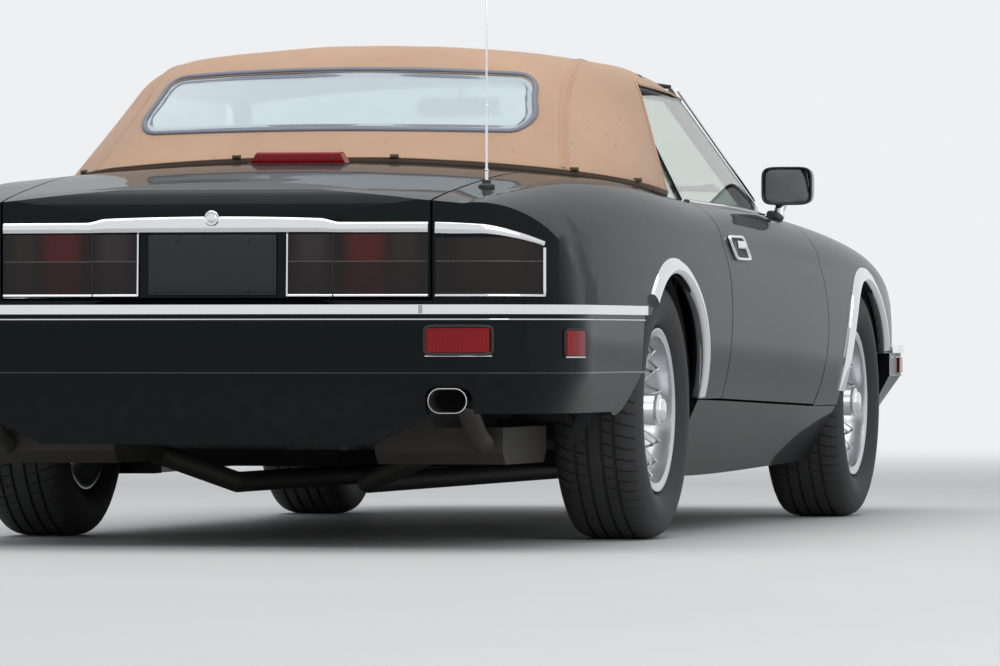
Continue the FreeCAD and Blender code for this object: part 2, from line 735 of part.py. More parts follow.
# The rear window, seen from behind
window_wire = outline(
    lambda x, z: V(x, 700, z),
    (-468, 1036),
    [
        (0, 1045, 468, 1036),
        (496, 1047, 508, 1076),
        (489, 1126),
        (475, 1161, 440, 1176),
        (0, 1190, -440, 1176),
        (-475, 1161, -489, 1126),
        (-508, 1076),
        (-496, 1047, -468, 1036),
    ],
)
window_prism = Part.Face(window_wire).extrude(V(0, 800, 0))
hood = cut(hood_shell, side_hole, window_prism, keep_out, screen_slab(150, 100, 30 + SEAM, 90, -20))
hood = hood.cut(box(-1000, 1000, -400, 1500, 700, 841))
# What is left ahead of the windscreen isn't part of the hood
hood = max(hood.Solids, key=lambda piece: piece.Volume)
inner_face = hood_form(4).cut(hood_form(9))
window_small = Part.Face(window_wire.makeOffset2D(-TOUCH)).extrude(V(0, 800, 0))
rear_window = inner_face.common(window_small)

# Quarter glass behind each door window, with its divider post
quarter_outline = prism_side(
    (462, 866),
    [(788, 866), (604, 1130), (566, 1114)],
    500,
    900,
)
quarter_hole = prism_side(
    (453, 862),
    [(483, 862), (572, 1108), (604, 1112), (596, 1140), (574, 1152), (545, 1112)],
    500,
    900,
)
quarter_pane = glass_slab(300, 800, 800, 1200, GLASS, 0).common(quarter_outline)
quarter_post = glass_slab(300, 800, 800, 1200, 16, 3).common(quarter_hole)
quarter = cut(quarter_pane.fuse(quarter_post), keep_out, hood)

# Floor, tunnel, bulkheads, arch liners and chassis legs, all one welded shell
FLOOR_Z = 172.0
SHEET = 10.0
TUNNEL_HALF = 130.0
TUNNEL_TOP = 400.0
SEAT_PAN_Y = 640.0
SEAT_PAN_Z = 440.0
BOOT_FLOOR_Z = 530.0
WELL_FLOOR_Z = 300.0
WALL_X = 700.0
WELL_X = 520.0
FIREWALL_Y = -862.0
LEG_IN, LEG_OUT = 384.0, 444.0


def sheet(x0, x1, y0, y1, z0, z1):
    return box(x0, x1, y0, y1, z0, z1)


pan = [
    sheet(-WALL_X, WALL_X, FIREWALL_Y, SEAT_PAN_Y, FLOOR_Z, FLOOR_Z + SHEET),
    sheet(-WALL_X, WALL_X, FIREWALL_Y - SHEET, FIREWALL_Y, FLOOR_Z, 800),
    sheet(-WALL_X, WALL_X, SEAT_PAN_Y, SEAT_PAN_Y + SHEET, FLOOR_Z, SEAT_PAN_Z),
    sheet(-WALL_X, WALL_X, SEAT_PAN_Y, CABIN_REAR_Y, SEAT_PAN_Z - SHEET, SEAT_PAN_Z),
    sheet(-WALL_X, WALL_X, CABIN_REAR_Y, CABIN_REAR_Y + SHEET, SEAT_PAN_Z - SHEET, 905),
    sheet(-WALL_X, WALL_X, CABIN_REAR_Y, 1520, BOOT_FLOOR_Z - SHEET, BOOT_FLOOR_Z),
    sheet(-WELL_X, WELL_X, 1520, 1520 + SHEET, WELL_FLOOR_Z - SHEET, BOOT_FLOOR_Z),
    sheet(-WELL_X, WELL_X, 1520, 2170, WELL_FLOOR_Z - SHEET, WELL_FLOOR_Z),
    sheet(-WELL_X, WELL_X, 2170, 2170 + SHEET, WELL_FLOOR_Z - SHEET, 560),
    sheet(-WELL_X, -WELL_X + SHEET, 1520, 2170, WELL_FLOOR_Z - SHEET, BOOT_FLOOR_Z),
    sheet(WELL_X - SHEET, WELL_X, 1520, 2170, WELL_FLOOR_Z - SHEET, BOOT_FLOOR_Z),
    sheet(-WALL_X, -WELL_X, 1500, 2170, BOOT_FLOOR_Z - SHEET, BOOT_FLOOR_Z),
    sheet(WELL_X, WALL_X, 1500, 2170, BOOT_FLOOR_Z - SHEET, BOOT_FLOOR_Z),
]
tunnel = box(-TUNNEL_HALF, TUNNEL_HALF, FIREWALL_Y, SEAT_PAN_Y, FLOOR_Z, TUNNEL_TOP)
tunnel_void = box(
    -TUNNEL_HALF + SHEET, TUNNEL_HALF - SHEET, FIREWALL_Y - 40, SEAT_PAN_Y + 40, 100, TUNNEL_TOP - SHEET
)
side_parts = []
for side in (1, -1):
    x0, x1 = sorted((side * WALL_X, side * (WALL_X - SHEET)))
    side_parts.append(sheet(x0, x1, FIREWALL_Y, SEAT_PAN_Y, FLOOR_Z, 320))
    side_parts.append(sheet(x0, x1, SEAT_PAN_Y, CABIN_REAR_Y, SEAT_PAN_Z - SHEET, 760))
    side_parts.append(sheet(x0, x1, CABIN_REAR_Y, 2140, BOOT_FLOOR_Z - SHEET, 700))
    x0, x1 = sorted((side * LEG_IN, side * LEG_OUT))
    side_parts.append(box(x0, x1, -2250, FIREWALL_Y, 300, 380))
    side_parts.append(sheet(x1 - SHEET if side > 0 else x0, x1 if side > 0 else x0 + SHEET, -2180, FIREWALL_Y, 380, 640))
    x0, x1 = sorted((side * (LEG_OUT - SHEET), side * 846))
    liner = cylinder_x(ARCH_RADIUS + 14, x0, x1, FRONT_AXLE_Y, ARCH_Z)
    liner = liner.cut(cylinder_x(ARCH_RADIUS + 4, x0 - 1, x1 + 1, FRONT_AXLE_Y, ARCH_Z))
    side_parts.append(liner.common(box(-1000, 1000, -2000, -900, ARCH_Z, 800)))
    x0, x1 = sorted((side * 560, side * 846))
    liner = cylinder_x(ARCH_RADIUS + 14, x0, x1, REAR_AXLE_Y, ARCH_Z)
    plate_x0, plate_x1 = sorted((side * 560, side * 570))
    liner = liner.cut(cylinder_x(ARCH_RADIUS + 4, x0 - 1, x1 + 1, REAR_AXLE_Y, ARCH_Z))
    closing = cylinder_x(ARCH_RADIUS + 14, plate_x0, plate_x1, REAR_AXLE_Y, ARCH_Z)
    side_parts.append(liner.fuse(closing).common(box(-1000, 1000, 600, 1700, BOOT_FLOOR_Z - SHEET, 800)))
    side_parts.append(liner.common(box(-1000, 1000, 600, 1700, ARCH_Z, 800)))
cross = sheet(-LEG_OUT, LEG_OUT, -2190, -2180, 300, 640)
nose_tie = sheet(-LEG_OUT, LEG_OUT, -2250, -2190, 300, 340)
rear_void = cylinder_x(ARCH_RADIUS + 4, 570, 1000, REAR_AXLE_Y, ARCH_Z)
floor_pan = pan[0].multiFuse(pan[1:] + side_parts + [tunnel, cross, nose_tie])
floor_pan = cut(floor_pan, tunnel_void, rear_void, mirrored(rear_void))
roomy = body_loft(PANEL + SEAM)
LOW_Z = 330.0
FLOOR_ENDS = (-2225.0, 2180.0)
floor_low = floor_pan.common(box(-WALL_X, WALL_X, *FLOOR_ENDS, 100, LOW_Z))
floor_high = floor_pan.common(box(-1000, 1000, *FLOOR_ENDS, LOW_Z, 1000)).common(roomy)
floor_pan = floor_low.fuse(floor_high).removeSplitter()

# Jacking pads and towing eye, carried by the floor
for side in (1, -1):
    for y in (-760, 560):
        x0, x1 = sorted((side * 640, side * 700))
        floor_pan = floor_pan.fuse(box(x0, x1, y - 40, y + 40, 150, FLOOR_Z))
EYE_X, EYE_Y, EYE_Z, EYE_BORE, EYE_ROUND, EYE_WIDTH = -300.0, 2150.0, 262.0, 13.0, 26.0, 16.0
eye = cylinder_x(EYE_ROUND, EYE_X - EYE_WIDTH / 2, EYE_X + EYE_WIDTH / 2, EYE_Y, EYE_Z)
eye_web = box(EYE_X - EYE_WIDTH / 2, EYE_X + EYE_WIDTH / 2, EYE_Y - EYE_ROUND, EYE_Y + EYE_ROUND, EYE_Z, WELL_FLOOR_Z - SHEET)
eye_bore = cylinder_x(EYE_BORE, EYE_X - EYE_WIDTH, EYE_X + EYE_WIDTH, EYE_Y, EYE_Z)
floor_pan = floor_pan.fuse(eye.fuse(eye_web).cut(eye_bore)).removeSplitter()

# Engine, gearbox, propeller shaft
engine = box(-240, 240, -1890, -1010, 300, 700).cut(box(-240, -120, -1890, -1010, 560, 700))
engine = engine.fuse(box(-LEG_IN + TOUCH, LEG_IN - TOUCH, -1520, -1440, 302, 360)).removeSplitter()
gearbox = Part.makeCone(104, 66, 600, V(0, -1010 + TOUCH, 286), V(0, 1, 0))
prop = Part.makeCylinder(32, 1410, V(0, -410, 286), V(0, 1, 0))
hanger = box(-TUNNEL_HALF + SHEET + TOUCH, TUNNEL_HALF - SHEET - TOUCH, -200, -160, 282, 298)
driveline = fuse(gearbox, prop, hanger)

# Rear axle: differential, half shafts, arms and hub carriers
DIFF_Y0, DIFF_Y1 = 1000.0 + TOUCH, 1270.0
diff = box(-90, 90, DIFF_Y0, DIFF_Y1, 225, 425)
cage = box(-240, 240, REAR_AXLE_Y - 60, REAR_AXLE_Y + 60, 425, BOOT_FLOOR_Z - SHEET - TOUCH)
halves = []
for side in (1, -1):
    def bar(x0, x1, y0, y1, z0, z1):
        a, b = sorted((side * x0, side * x1))
        return box(a, b, y0, y1, z0, z1)

    a, b = sorted((side * 90, side * 640))
    halves.append(cylinder_x(24, a, b, REAR_AXLE_Y, TYRE_RADIUS))
    halves.append(bar(60, 640, REAR_AXLE_Y - 80, REAR_AXLE_Y + 20, 225, 250))
    halves.append(bar(600, 664, REAR_AXLE_Y - 50, REAR_AXLE_Y + 50, 225, 430))
    a, b = sorted((side * 664, side * 728))
    halves.append(cylinder_x(60, a, b - 0 if side > 0 else b, REAR_AXLE_Y, TYRE_RADIUS))
    a, b = sorted((side * 690, side * 706))
    halves.append(cylinder_x(140, a, b, REAR_AXLE_Y, TYRE_RADIUS))
rear_axle = fuse(diff, cage, *halves)

# Front suspension: crossmember, wishbones and posts, fixed to the chassis legs
# The arms end short of the brake disc, which swings past them when the wheels are steered
ARM_END = 676.0
crossmember = box(-LEG_OUT, LEG_OUT, FRONT_AXLE_Y - 60, FRONT_AXLE_Y + 60, 170, 300 - TOUCH)
halves = []
for side in (1, -1):
    halves.append(bar(LEG_OUT - 40, ARM_END, FRONT_AXLE_Y - 25, FRONT_AXLE_Y + 25, 170, POST_LOW_Z - TOUCH))
    halves.append(bar(LEG_OUT + TOUCH, ARM_END, FRONT_AXLE_Y - 25, FRONT_AXLE_Y + 25, POST_HIGH_Z + TOUCH, POST_HIGH_Z + 24))
    halves.append(bar(LEG_OUT + TOUCH, LEG_OUT + 30, FRONT_AXLE_Y - 25, FRONT_AXLE_Y + 25, 199, POST_HIGH_Z + 24))

    def bar(x0, x1, y0, y1, z0, z1, side=-1):
        a, b = sorted((side * x0, side * x1))
        return box(a, b, y0, y1, z0, z1)


front_suspension = fuse(crossmember, *halves)

# Steering knuckle, one each side
upright = fuse(
    box(652, 692, FRONT_AXLE_Y - 22, FRONT_AXLE_Y + 22, POST_LOW_Z, POST_HIGH_Z),
    cylinder_x(60, 690, FRONT_TRACK / 2 + HUB_BACK - TOUCH, FRONT_AXLE_Y, TYRE_RADIUS),
    cylinder_x(140, 694, 708, FRONT_AXLE_Y, TYRE_RADIUS),
)


# Wheel and tyre, built at the origin with the axle along X and the outer side to +X
def ring(points):
    """Turns a profile of x and radius round the wheel's axle."""
    wire = outline(lambda x, r: V(x, 0, r), points[0], points[1:])
    return Part.Face(wire).revolve(V(0, 0, 0), V(1, 0, 0), 360)


def make_tyre():
    t = TYRE_HALF
    return ring(
        [
            (-RIM_HALF + 8.5, BEAD_RADIUS + TOUCH),
            (RIM_HALF - 8.5, BEAD_RADIUS + TOUCH),
            (RIM_HALF - 8.5, 209),
            (t - 9, 226),
            (t, 250),
            (t, 276),
            (t - 8, 300),
            (t - 24, 318),
            (t - 48, TYRE_RADIUS),
            (-t + 48, TYRE_RADIUS),
            (-t + 24, 318),
            (-t + 8, 300),
            (-t, 276),
            (-t, 250),
            (-t + 9, 226),
            (-RIM_HALF + 8.5, 209),
        ]
    )


def spoke(start, end):
    """A thin six-sided bar between two points."""
    along = end - start
    across = along.cross(V(0, along.z, -along.y)).normalize() * SPOKE_RADIUS
    turn = FreeCAD.Rotation(along, 60)
    corners = [across]
    for _ in range(5):
        corners.append(turn.multVec(corners[-1]))
    wire = Part.makePolygon([start + corner for corner in corners + corners[:1]])
    return Part.Face(wire).extrude(along)


def make_wheel():
    r, w = BEAD_RADIUS, RIM_HALF
    rim = ring(
        [
            (-w, r - 8),
            (w, r - 8),
            (w, FLANGE_RADIUS),
            (w - 8, FLANGE_RADIUS),
            (w - 8, r),
            (-w + 8, r),
            (-w + 8, FLANGE_RADIUS),
            (-w, FLANGE_RADIUS),
        ]
    )
    hub = ring([(HUB_BACK, 0), (CAP_END, 0), (CAP_END, 26), (CAP_END - 14, 38), (58, HUB_RADIUS), (HUB_BACK, HUB_RADIUS)])
    spokes = []
    rows = ((44, -6, 9), (44, -6, -9), (-12, 56, 9), (-12, 56, -9))
    for row, (hub_x, rim_x, lace) in enumerate(rows):
        for k in range(SPOKE_COUNT // 2):
            a0 = math.radians(k * 720 / SPOKE_COUNT + row * 180 / SPOKE_COUNT)
            a1 = a0 + math.radians(lace)
            start = V(hub_x, (HUB_RADIUS - 6) * math.sin(a0), (HUB_RADIUS - 6) * math.cos(a0))
            end = V(rim_x, (r - 4) * math.sin(a1), (r - 4) * math.cos(a1))
            spokes.append(spoke(start, end))
    return fuse(rim, hub, *spokes)


def placed(shape, x, y, flip):
    if flip:
        shape = mirrored(shape)
    copy = shape.copy()
    copy.translate(V(x, y, TYRE_RADIUS))
    return copy


tyre = make_tyre()
wheel = make_wheel()

# Seats, dashboard with steering wheel, wipers, aerial
SEAT_X = 370.0
cushion = prism_side((-160, 200), [(350, 200), (350, 400), (-130, 430), (-165, 380)], SEAT_X - 245, SEAT_X + 245)
back = prism_side((300, 400), [(460, 400), (620, 940), (560, 960), (500, 940)], SEAT_X - 235, SEAT_X + 235)
rest = prism_side((540, 930), [(620, 930), (632, 1040), (560, 1050)], SEAT_X - 120, SEAT_X + 120)
runners = box(SEAT_X - 200, SEAT_X + 200, -100, 330, FLOOR_Z + SHEET + TOUCH, 202)
front_seat = fuse(cushion, back, rest, runners).cut(tunnel)
rear_cushion = prism_side((655, SEAT_PAN_Z + TOUCH), [(980, SEAT_PAN_Z + TOUCH), (980, 500), (670, 560)], 150, 550)
rear_back = prism_side((890, 500), [(1000, 500), (1008, 860), (960, 868)], 150, 550)
rear_seat = rear_cushion.fuse(rear_back).cut(box(-1000, 1000, 0, 2000, 0, SEAT_PAN_Z + TOUCH)).removeSplitter()
seats = Part.makeCompound([front_seat, mirrored(front_seat), rear_seat, mirrored(rear_seat)])
dash = prism_side((-861, 640), [(-700, 560), (-520, 600), (-480, 700), (-520, 800), (-620, 850), (-861, 790)], -690, 690)
console = prism_side(
    (-700, TUNNEL_TOP + TOUCH), [(200, TUNNEL_TOP + TOUCH), (200, 500), (-300, 520), (-520, 620), (-700, 620)], -100, 100
)
column_dir = V(0, 0.92, 0.39)
column = Part.makeCylinder(28, 260, V(SEAT_X, -560, 660), column_dir)
rim_centre = V(SEAT_X, -560, 660) + column_dir * 250
wheel_rim = Part.makeTorus(185, 13, rim_centre, column_dir)
wheel_hub = Part.makeCylinder(60, 30, rim_centre - column_dir * 15, column_dir)
arms = []
for side in (1, -1):
    arms.append(Part.makeCylinder(9, 185, rim_centre, V(side, 0, 0)))
arms.append(Part.makeCylinder(9, 185, rim_centre, V(0, 0.39, -0.92)))
dash = cut(dash.fuse(console), box(-1000, 1000, -900, -860.7, 0, 1000))
dash = dash.cut(screen_slab(60, 60, 30, 90, -30)).common(roomy)
dashboard = fuse(dash, column, wheel_rim, wheel_hub, *arms)


def wiper(x, tip_x):
    """An arm along the windscreen from its spindle on the scuttle."""
    foot = V(x, -868, 880)
    tip_point = V(tip_x, -842, 935)
    along = tip_point - foot
    arm = Part.makeCylinder(5, along.Length, foot, along)
    return arm.fuse(Part.makeCylinder(9, 40, V(x, -868, 860), V(0, 0, 1)))


wipers = Part.makeCompound([wiper(300, -120), wiper(-160, -560)]).cut(keep_out)
wipers = cut(wipers, screen_slab(60, 80, 60, 60, -1))
AERIAL = V(-600, 1942, 850)
aerial = fuse(
    Part.makeCylinder(14, 30, AERIAL, V(0, 0, 1)),
    Part.makeCylinder(4.2, 64, AERIAL, V(0, 0, 1)),
    Part.makeCylinder(3.2, 222, AERIAL, V(0, 0, 1)),
    Part.makeCylinder(2.4, 605, AERIAL, V(0, 0, 1)),
).cut(keep_out)

# Fuel flap in the left rear wing
flap_zone = box(712, 790, 1180, 1300, 860, 1000)
flap_gap = box(706, 796, 1174, 1306, 860, 1000)
flap = outer.common(flap_zone).cut(body_loft(8))
rear_wing_left = rear_wing.cut(flap_gap.cut(body_loft(8 + TOUCH)))
rear_wing_right = mirrored(rear_wing)

# Hood frame: two bows under the cloth
bows = []
for y in (60, 330):
    slice_form = hood_inner.common(box(-1000, 1000, y - 14, y + 14, 1172, 1300))
    top_slice = slice_form.copy()
    top_slice.translate(V(0, 0, -TOUCH))
    low_slice = slice_form.copy()
    low_slice.translate(V(0, 0, -14))
    bows.append(top_slice.cut(low_slice).common(box(-1000, 1000, y - 14, y + 14, 1171, 1300)))

parts = {
    "floor_pan": floor_pan,
    "sills": both_sides(sill),
    "front_wings": both_sides(front_wing),
    "nose_panel": nose,
    "scuttle": scuttle,
    "rear_wings": Part.makeCompound([rear_wing_left, rear_wing_right]),
    "rear_deck": deck,
    "tail_panel": tail,
    "windscreen_frame": screen_frame,
    "windscreen": screen_glass,
    "front_bumper": front_bumper,
    "rear_bumper": rear_bumper,
    "bumper_blades": blades,
    "headlamps": headlamps,
    "grille": grille,
    "wing_lamps": both_sides(wing_lamp),
    "bumper_lamps": bumper_lamps,
    "brake_lamp": brake_lamp,
    "arch_lips": both_sides(arch_lip),
    "hood": hood,
    "hood_bows": Part.makeCompound(bows),
    "rear_window": rear_window,
    "quarter_windows": both_sides(quarter),
    "engine": engine,
    "driveline": driveline,
    "rear_axle": rear_axle,
    "front_suspension": front_suspension,
    "exhaust": exhaust,
    "seats": seats,
    "dashboard": dashboard,
    "wipers": wipers,
    "aerial": aerial,
    "bonnet": bonnet,
    "boot_lid": lid,
    "lid_lamps": lid_lamps,
    "lid_trim": lid_trim,
    "fuel_flap": flap,
    "door_left": door,
    "door_right": mirrored(door),
    "glass_left": door_glass,
    "glass_right": mirrored(door_glass),
    "trim_left": Part.makeCompound([mirror, handle]),
    "trim_right": mirrored(Part.makeCompound([mirror, handle])),
    "upright_left": upright,
    "upright_right": mirrored(upright),
    "tyre_front_left": placed(tyre, FRONT_TRACK / 2, FRONT_AXLE_Y, False),
    "tyre_front_right": placed(tyre, -FRONT_TRACK / 2, FRONT_AXLE_Y, True),
    "tyre_rear_left": placed(tyre, REAR_TRACK / 2, REAR_AXLE_Y, False),
    "tyre_rear_right": placed(tyre, -REAR_TRACK / 2, REAR_AXLE_Y, True),
    "wheel_front_left": placed(wheel, FRONT_TRACK / 2, FRONT_AXLE_Y, False),
    "wheel_front_right": placed(wheel, -FRONT_TRACK / 2, FRONT_AXLE_Y, True),
    "wheel_rear_left": placed(wheel, REAR_TRACK / 2, REAR_AXLE_Y, False),
    "wheel_rear_right": placed(wheel, -REAR_TRACK / 2, REAR_AXLE_Y, True),
}
for name, shape in parts.items():
    export(name, shape)
    print(name, shape.isValid(), len(shape.Solids), round(shape.Volume / 1e6, 2), flush=True)
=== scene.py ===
"""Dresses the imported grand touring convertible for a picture: paint, cloth, brightwork, lamps, cabin and wheels.

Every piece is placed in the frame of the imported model, in metres: +Z up, the nose to -Y, the car's left to +X.
"""

from __future__ import annotations

import json
import logging
import math
from dataclasses import dataclass
from enum import Enum
from typing import Any, Callable, Iterable, Sequence

import bmesh
import bpy
import numpy as np
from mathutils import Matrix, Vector
from mathutils.bvhtree import BVHTree

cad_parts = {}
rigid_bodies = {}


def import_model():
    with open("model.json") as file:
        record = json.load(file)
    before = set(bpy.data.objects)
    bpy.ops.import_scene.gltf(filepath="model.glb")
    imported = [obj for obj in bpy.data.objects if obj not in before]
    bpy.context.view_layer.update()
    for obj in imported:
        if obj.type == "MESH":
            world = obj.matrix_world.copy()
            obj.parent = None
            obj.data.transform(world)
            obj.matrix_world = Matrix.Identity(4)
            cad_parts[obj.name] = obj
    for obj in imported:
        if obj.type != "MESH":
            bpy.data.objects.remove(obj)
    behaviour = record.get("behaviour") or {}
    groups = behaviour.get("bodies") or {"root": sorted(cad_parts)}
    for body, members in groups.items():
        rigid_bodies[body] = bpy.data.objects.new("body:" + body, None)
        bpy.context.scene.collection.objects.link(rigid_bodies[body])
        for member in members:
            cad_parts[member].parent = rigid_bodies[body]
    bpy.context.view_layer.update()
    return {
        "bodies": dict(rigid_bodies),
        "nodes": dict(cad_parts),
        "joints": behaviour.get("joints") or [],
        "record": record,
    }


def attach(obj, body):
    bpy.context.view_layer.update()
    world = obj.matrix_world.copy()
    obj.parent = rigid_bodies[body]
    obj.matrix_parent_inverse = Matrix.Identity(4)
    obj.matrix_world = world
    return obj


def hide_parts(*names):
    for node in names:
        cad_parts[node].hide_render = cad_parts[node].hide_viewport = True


logging.basicConfig(level=logging.INFO, format="%(message)s")
LOG = logging.getLogger("convertible")

Colour = Point = tuple[float, float, float]
Laid = tuple[np.ndarray, np.ndarray]
Pair = tuple[float, float]
Profile = tuple[Pair, ...]
Parts = list[tuple[str, "Surface", str]]

FULL_TURN = 2 * math.pi
FRONT_AXLE = (-1.455, 0.326)
REAR_AXLE = (1.136, 0.326)
SIDES = (("left", 1), ("right", -1))


class Way(Enum):
    """Where the axis of a turned shape points once it is stood up: the order of its parts, and their signs."""

    BACK = ((1, 0, 2), (1, 1, 1))
    AHEAD = ((1, 0, 2), (1, -1, 1))
    UP = ((2, 1, 0), (-1, 1, 1))


class Signal:
    """One output socket of a material, with arithmetic written as Python expressions."""

    def __init__(self, shop: Workshop, socket: Any) -> None:
        """Keeps the socket and the workshop it belongs to."""
        self.shop = shop
        self.socket = socket

    def math(self, operation: str, *values: Any) -> Signal:
        """Adds a Math node for an operation on this signal and others."""
        return self.shop.node("Math", {"operation": operation}, dict(enumerate(values)))

    def __add__(self, other: Any) -> Signal:
        """Sum."""
        return self.math("ADD", self, other)

    __radd__ = __add__

    def __sub__(self, other: Any) -> Signal:
        """Difference."""
        return self.math("SUBTRACT", self, other)

    def __rsub__(self, other: Any) -> Signal:
        """Reflected difference."""
        return self.math("SUBTRACT", other, self)

    def __mul__(self, other: Any) -> Signal:
        """Product."""
        return self.math("MULTIPLY", self, other)

    __rmul__ = __mul__

    def __abs__(self) -> Signal:
        """Absolute value."""
        return self.math("ABSOLUTE", self)

    def sine(self) -> Signal:
        """Sine of this signal in radians."""
        return self.math("SINE", self)

    def step(self, low: float, high: float) -> Signal:
        """A smooth step from nought at low to one at high."""
        settings = {"interpolation_type": "SMOOTHSTEP", "clamp": True}
        return self.shop.node("MapRange", settings, {0: self, 1: low, 2: high, 3: 0.0, 4: 1.0})

    def band(self, low: float, high: float, soft: float) -> Signal:
        """One between low and high with soft edges, nought outside."""
        return self.step(low - soft, low + soft) * (1 - self.step(high - soft, high + soft))


class Workshop:
    """Builds the nodes of one material or world."""

    def __init__(self, holder: Any, output: str = "OutputMaterial") -> None:
        """Starts with nothing but an output node.

        Args:
            holder: The material or world.
            output: The type name of its output node without the prefix.
        """
        holder.use_nodes = True
        self.holder = holder
        self.tree = holder.node_tree
        self.tree.nodes.clear()
        self.output = self.tree.nodes.new("ShaderNode" + output)

    def node(self, kind: str, settings: dict[str, Any], inputs: dict[Any, Any], out: Any = 0) -> Signal:
        """Adds any node.

        Args:
            kind: The node's type name without its prefix, ShaderNode.
            settings: Its properties, set first.
            inputs: A value or a Signal for each socket, by index or name.
            out: The output socket that is returned.

        Returns:
            The chosen output as a Signal.
        """
        made = self.tree.nodes.new("ShaderNode" + kind)
        for key, value in settings.items():
            setattr(made, key, value)
        for key, value in inputs.items():
            socket = made.inputs[key]
            if isinstance(value, Signal):
                self.tree.links.new(value.socket, socket)
            else:
                socket.default_value = (*value, 1.0) if socket.type == "RGBA" else value
        return Signal(self, made.outputs[out])

    def place(self) -> Signal:
        """The coordinates that every pattern follows."""
        return self.node("TexCoord", {}, {}, "Object")

    def axes(self, vector: Signal) -> list[Signal]:
        """The three parts of a vector."""
        first = self.node("SeparateXYZ", {}, {0: vector})
        return [Signal(self, socket) for socket in first.socket.node.outputs]

    def noise(self, vector: Signal, scale: float, detail: float = 2.0, rough: float = 0.5) -> Signal:
        """Cloudy noise between nought and one."""
        inputs = {"Vector": vector, "Scale": scale, "Detail": detail, "Roughness": rough}
        return self.node("TexNoise", {}, inputs)

    def cells(self, vector: Signal, scale: float, out: str = "Distance") -> Signal:
        """Scattered cells: the distance to the nearest cell's middle, or another output."""
        return self.node("TexVoronoi", {}, {"Vector": vector, "Scale": scale}, out)

    def mix(self, factor: Any, first: Any, second: Any) -> Signal:
        """A colour between first and second."""
        return self.node("Mix", {"data_type": "RGBA"}, {0: factor, 6: first, 7: second}, 2)

    def bump(self, height: Signal, strength: float, distance: float) -> Signal:
        """A normal from a height signal."""
        return self.node("Bump", {}, {"Strength": strength, "Distance": distance, "Height": height})

    def looked_at(self) -> Signal:
        """One for rays from the camera, off mirrors and through glass, nought for all others."""
        kinds = ("Camera", "Glossy", "Transmission")
        camera, mirror, glass = (self.node("LightPath", {}, {}, "Is %s Ray" % kind) for kind in kinds)
        return (camera + mirror + glass).step(0.2, 0.8)

    def ended(self, shader: Signal) -> Any:
        """Links the last shader to the output and gives the material or world."""
        self.tree.links.new(shader.socket, self.output.inputs[0])
        return self.holder

    def principled(self, colour: Signal, roughness: Signal, others: dict[str, Any]) -> Any:
        """Ends the material in a principled shader, whose other sockets are given by name."""
        inputs = {"Base Color": colour, "Roughness": roughness, **others}
        return self.ended(self.node("BsdfPrincipled", {}, inputs))


@dataclass(frozen=True)
class Finish:
    """A plain finish with fine grain, and the record's slot it is for. Its subclasses add their own patterns."""

    name: str
    slot: str
    colour: Colour
    roughness: float = 0.5
    metallic: float = 0.0
    grain: float = 180.0
    depth: float = 0.0

    def tone(self, share: float, lift: float = 0.0) -> Colour:
        """The colour made lighter or darker."""
        return tuple(share * c + lift for c in self.colour)

    def start(self) -> tuple[Workshop, Signal]:
        """An empty material, and the coordinates on it."""
        shop = Workshop(bpy.data.materials.new(self.name))
        return shop, shop.place()

    def make(self) -> Any:
        """Material: cloudy colour, uneven gloss and, with a depth, a fine raised grain."""
        shop, place = self.start()
        grain = shop.noise(place, self.grain, 3.0)
        colour = shop.mix(shop.noise(place, 7.0, 3.0), self.tone(0.86), self.tone(1.12))
        normal = {"Normal": shop.bump(grain, 0.6, self.depth)} if self.depth > 0 else {}
        return shop.principled(colour, grain * 0.1 + (self.roughness - 0.05), {"Metallic": self.metallic, **normal})


@dataclass(frozen=True)
class Paint(Finish):
    """Deep paint with fine flakes under a clear coat."""

    def make(self) -> Any:
        """Material: fine flakes in the colour, a smooth coat, a film of dust low down."""
        shop, place = self.start()
        glint = shop.axes(shop.cells(place, 1600.0, "Color"))[0]
        height = shop.axes(place)[2]
        dust = (1 - height.step(0.2, 0.55)) * shop.noise(place, 30.0, 4.0) * 0.12
        flaked = shop.mix(glint * 0.5, self.colour, self.tone(2.0, 0.002))
        base = shop.mix(dust, flaked, (0.1, 0.095, 0.085))
        coat = {"Coat Weight": 0.46 - dust * 0.42, "Coat Roughness": 0.015, "Coat IOR": 1.31}
        return shop.principled(base, glint * 0.12 + self.roughness, {"Specular IOR Level": 0.03, **coat})


@dataclass(frozen=True)
class Bright(Finish):
    """Polished chrome with faint wiping marks."""

    def make(self) -> Any:
        """Material: a mirror whose gloss varies a little in long strokes."""
        shop, place = self.start()
        strokes = shop.noise(place, 42.0, 4.0, 0.7)
        tone = shop.mix(strokes, self.tone(0.93), self.colour)
        return shop.principled(tone, strokes * 0.07 + self.roughness, {"Metallic": 1.0})


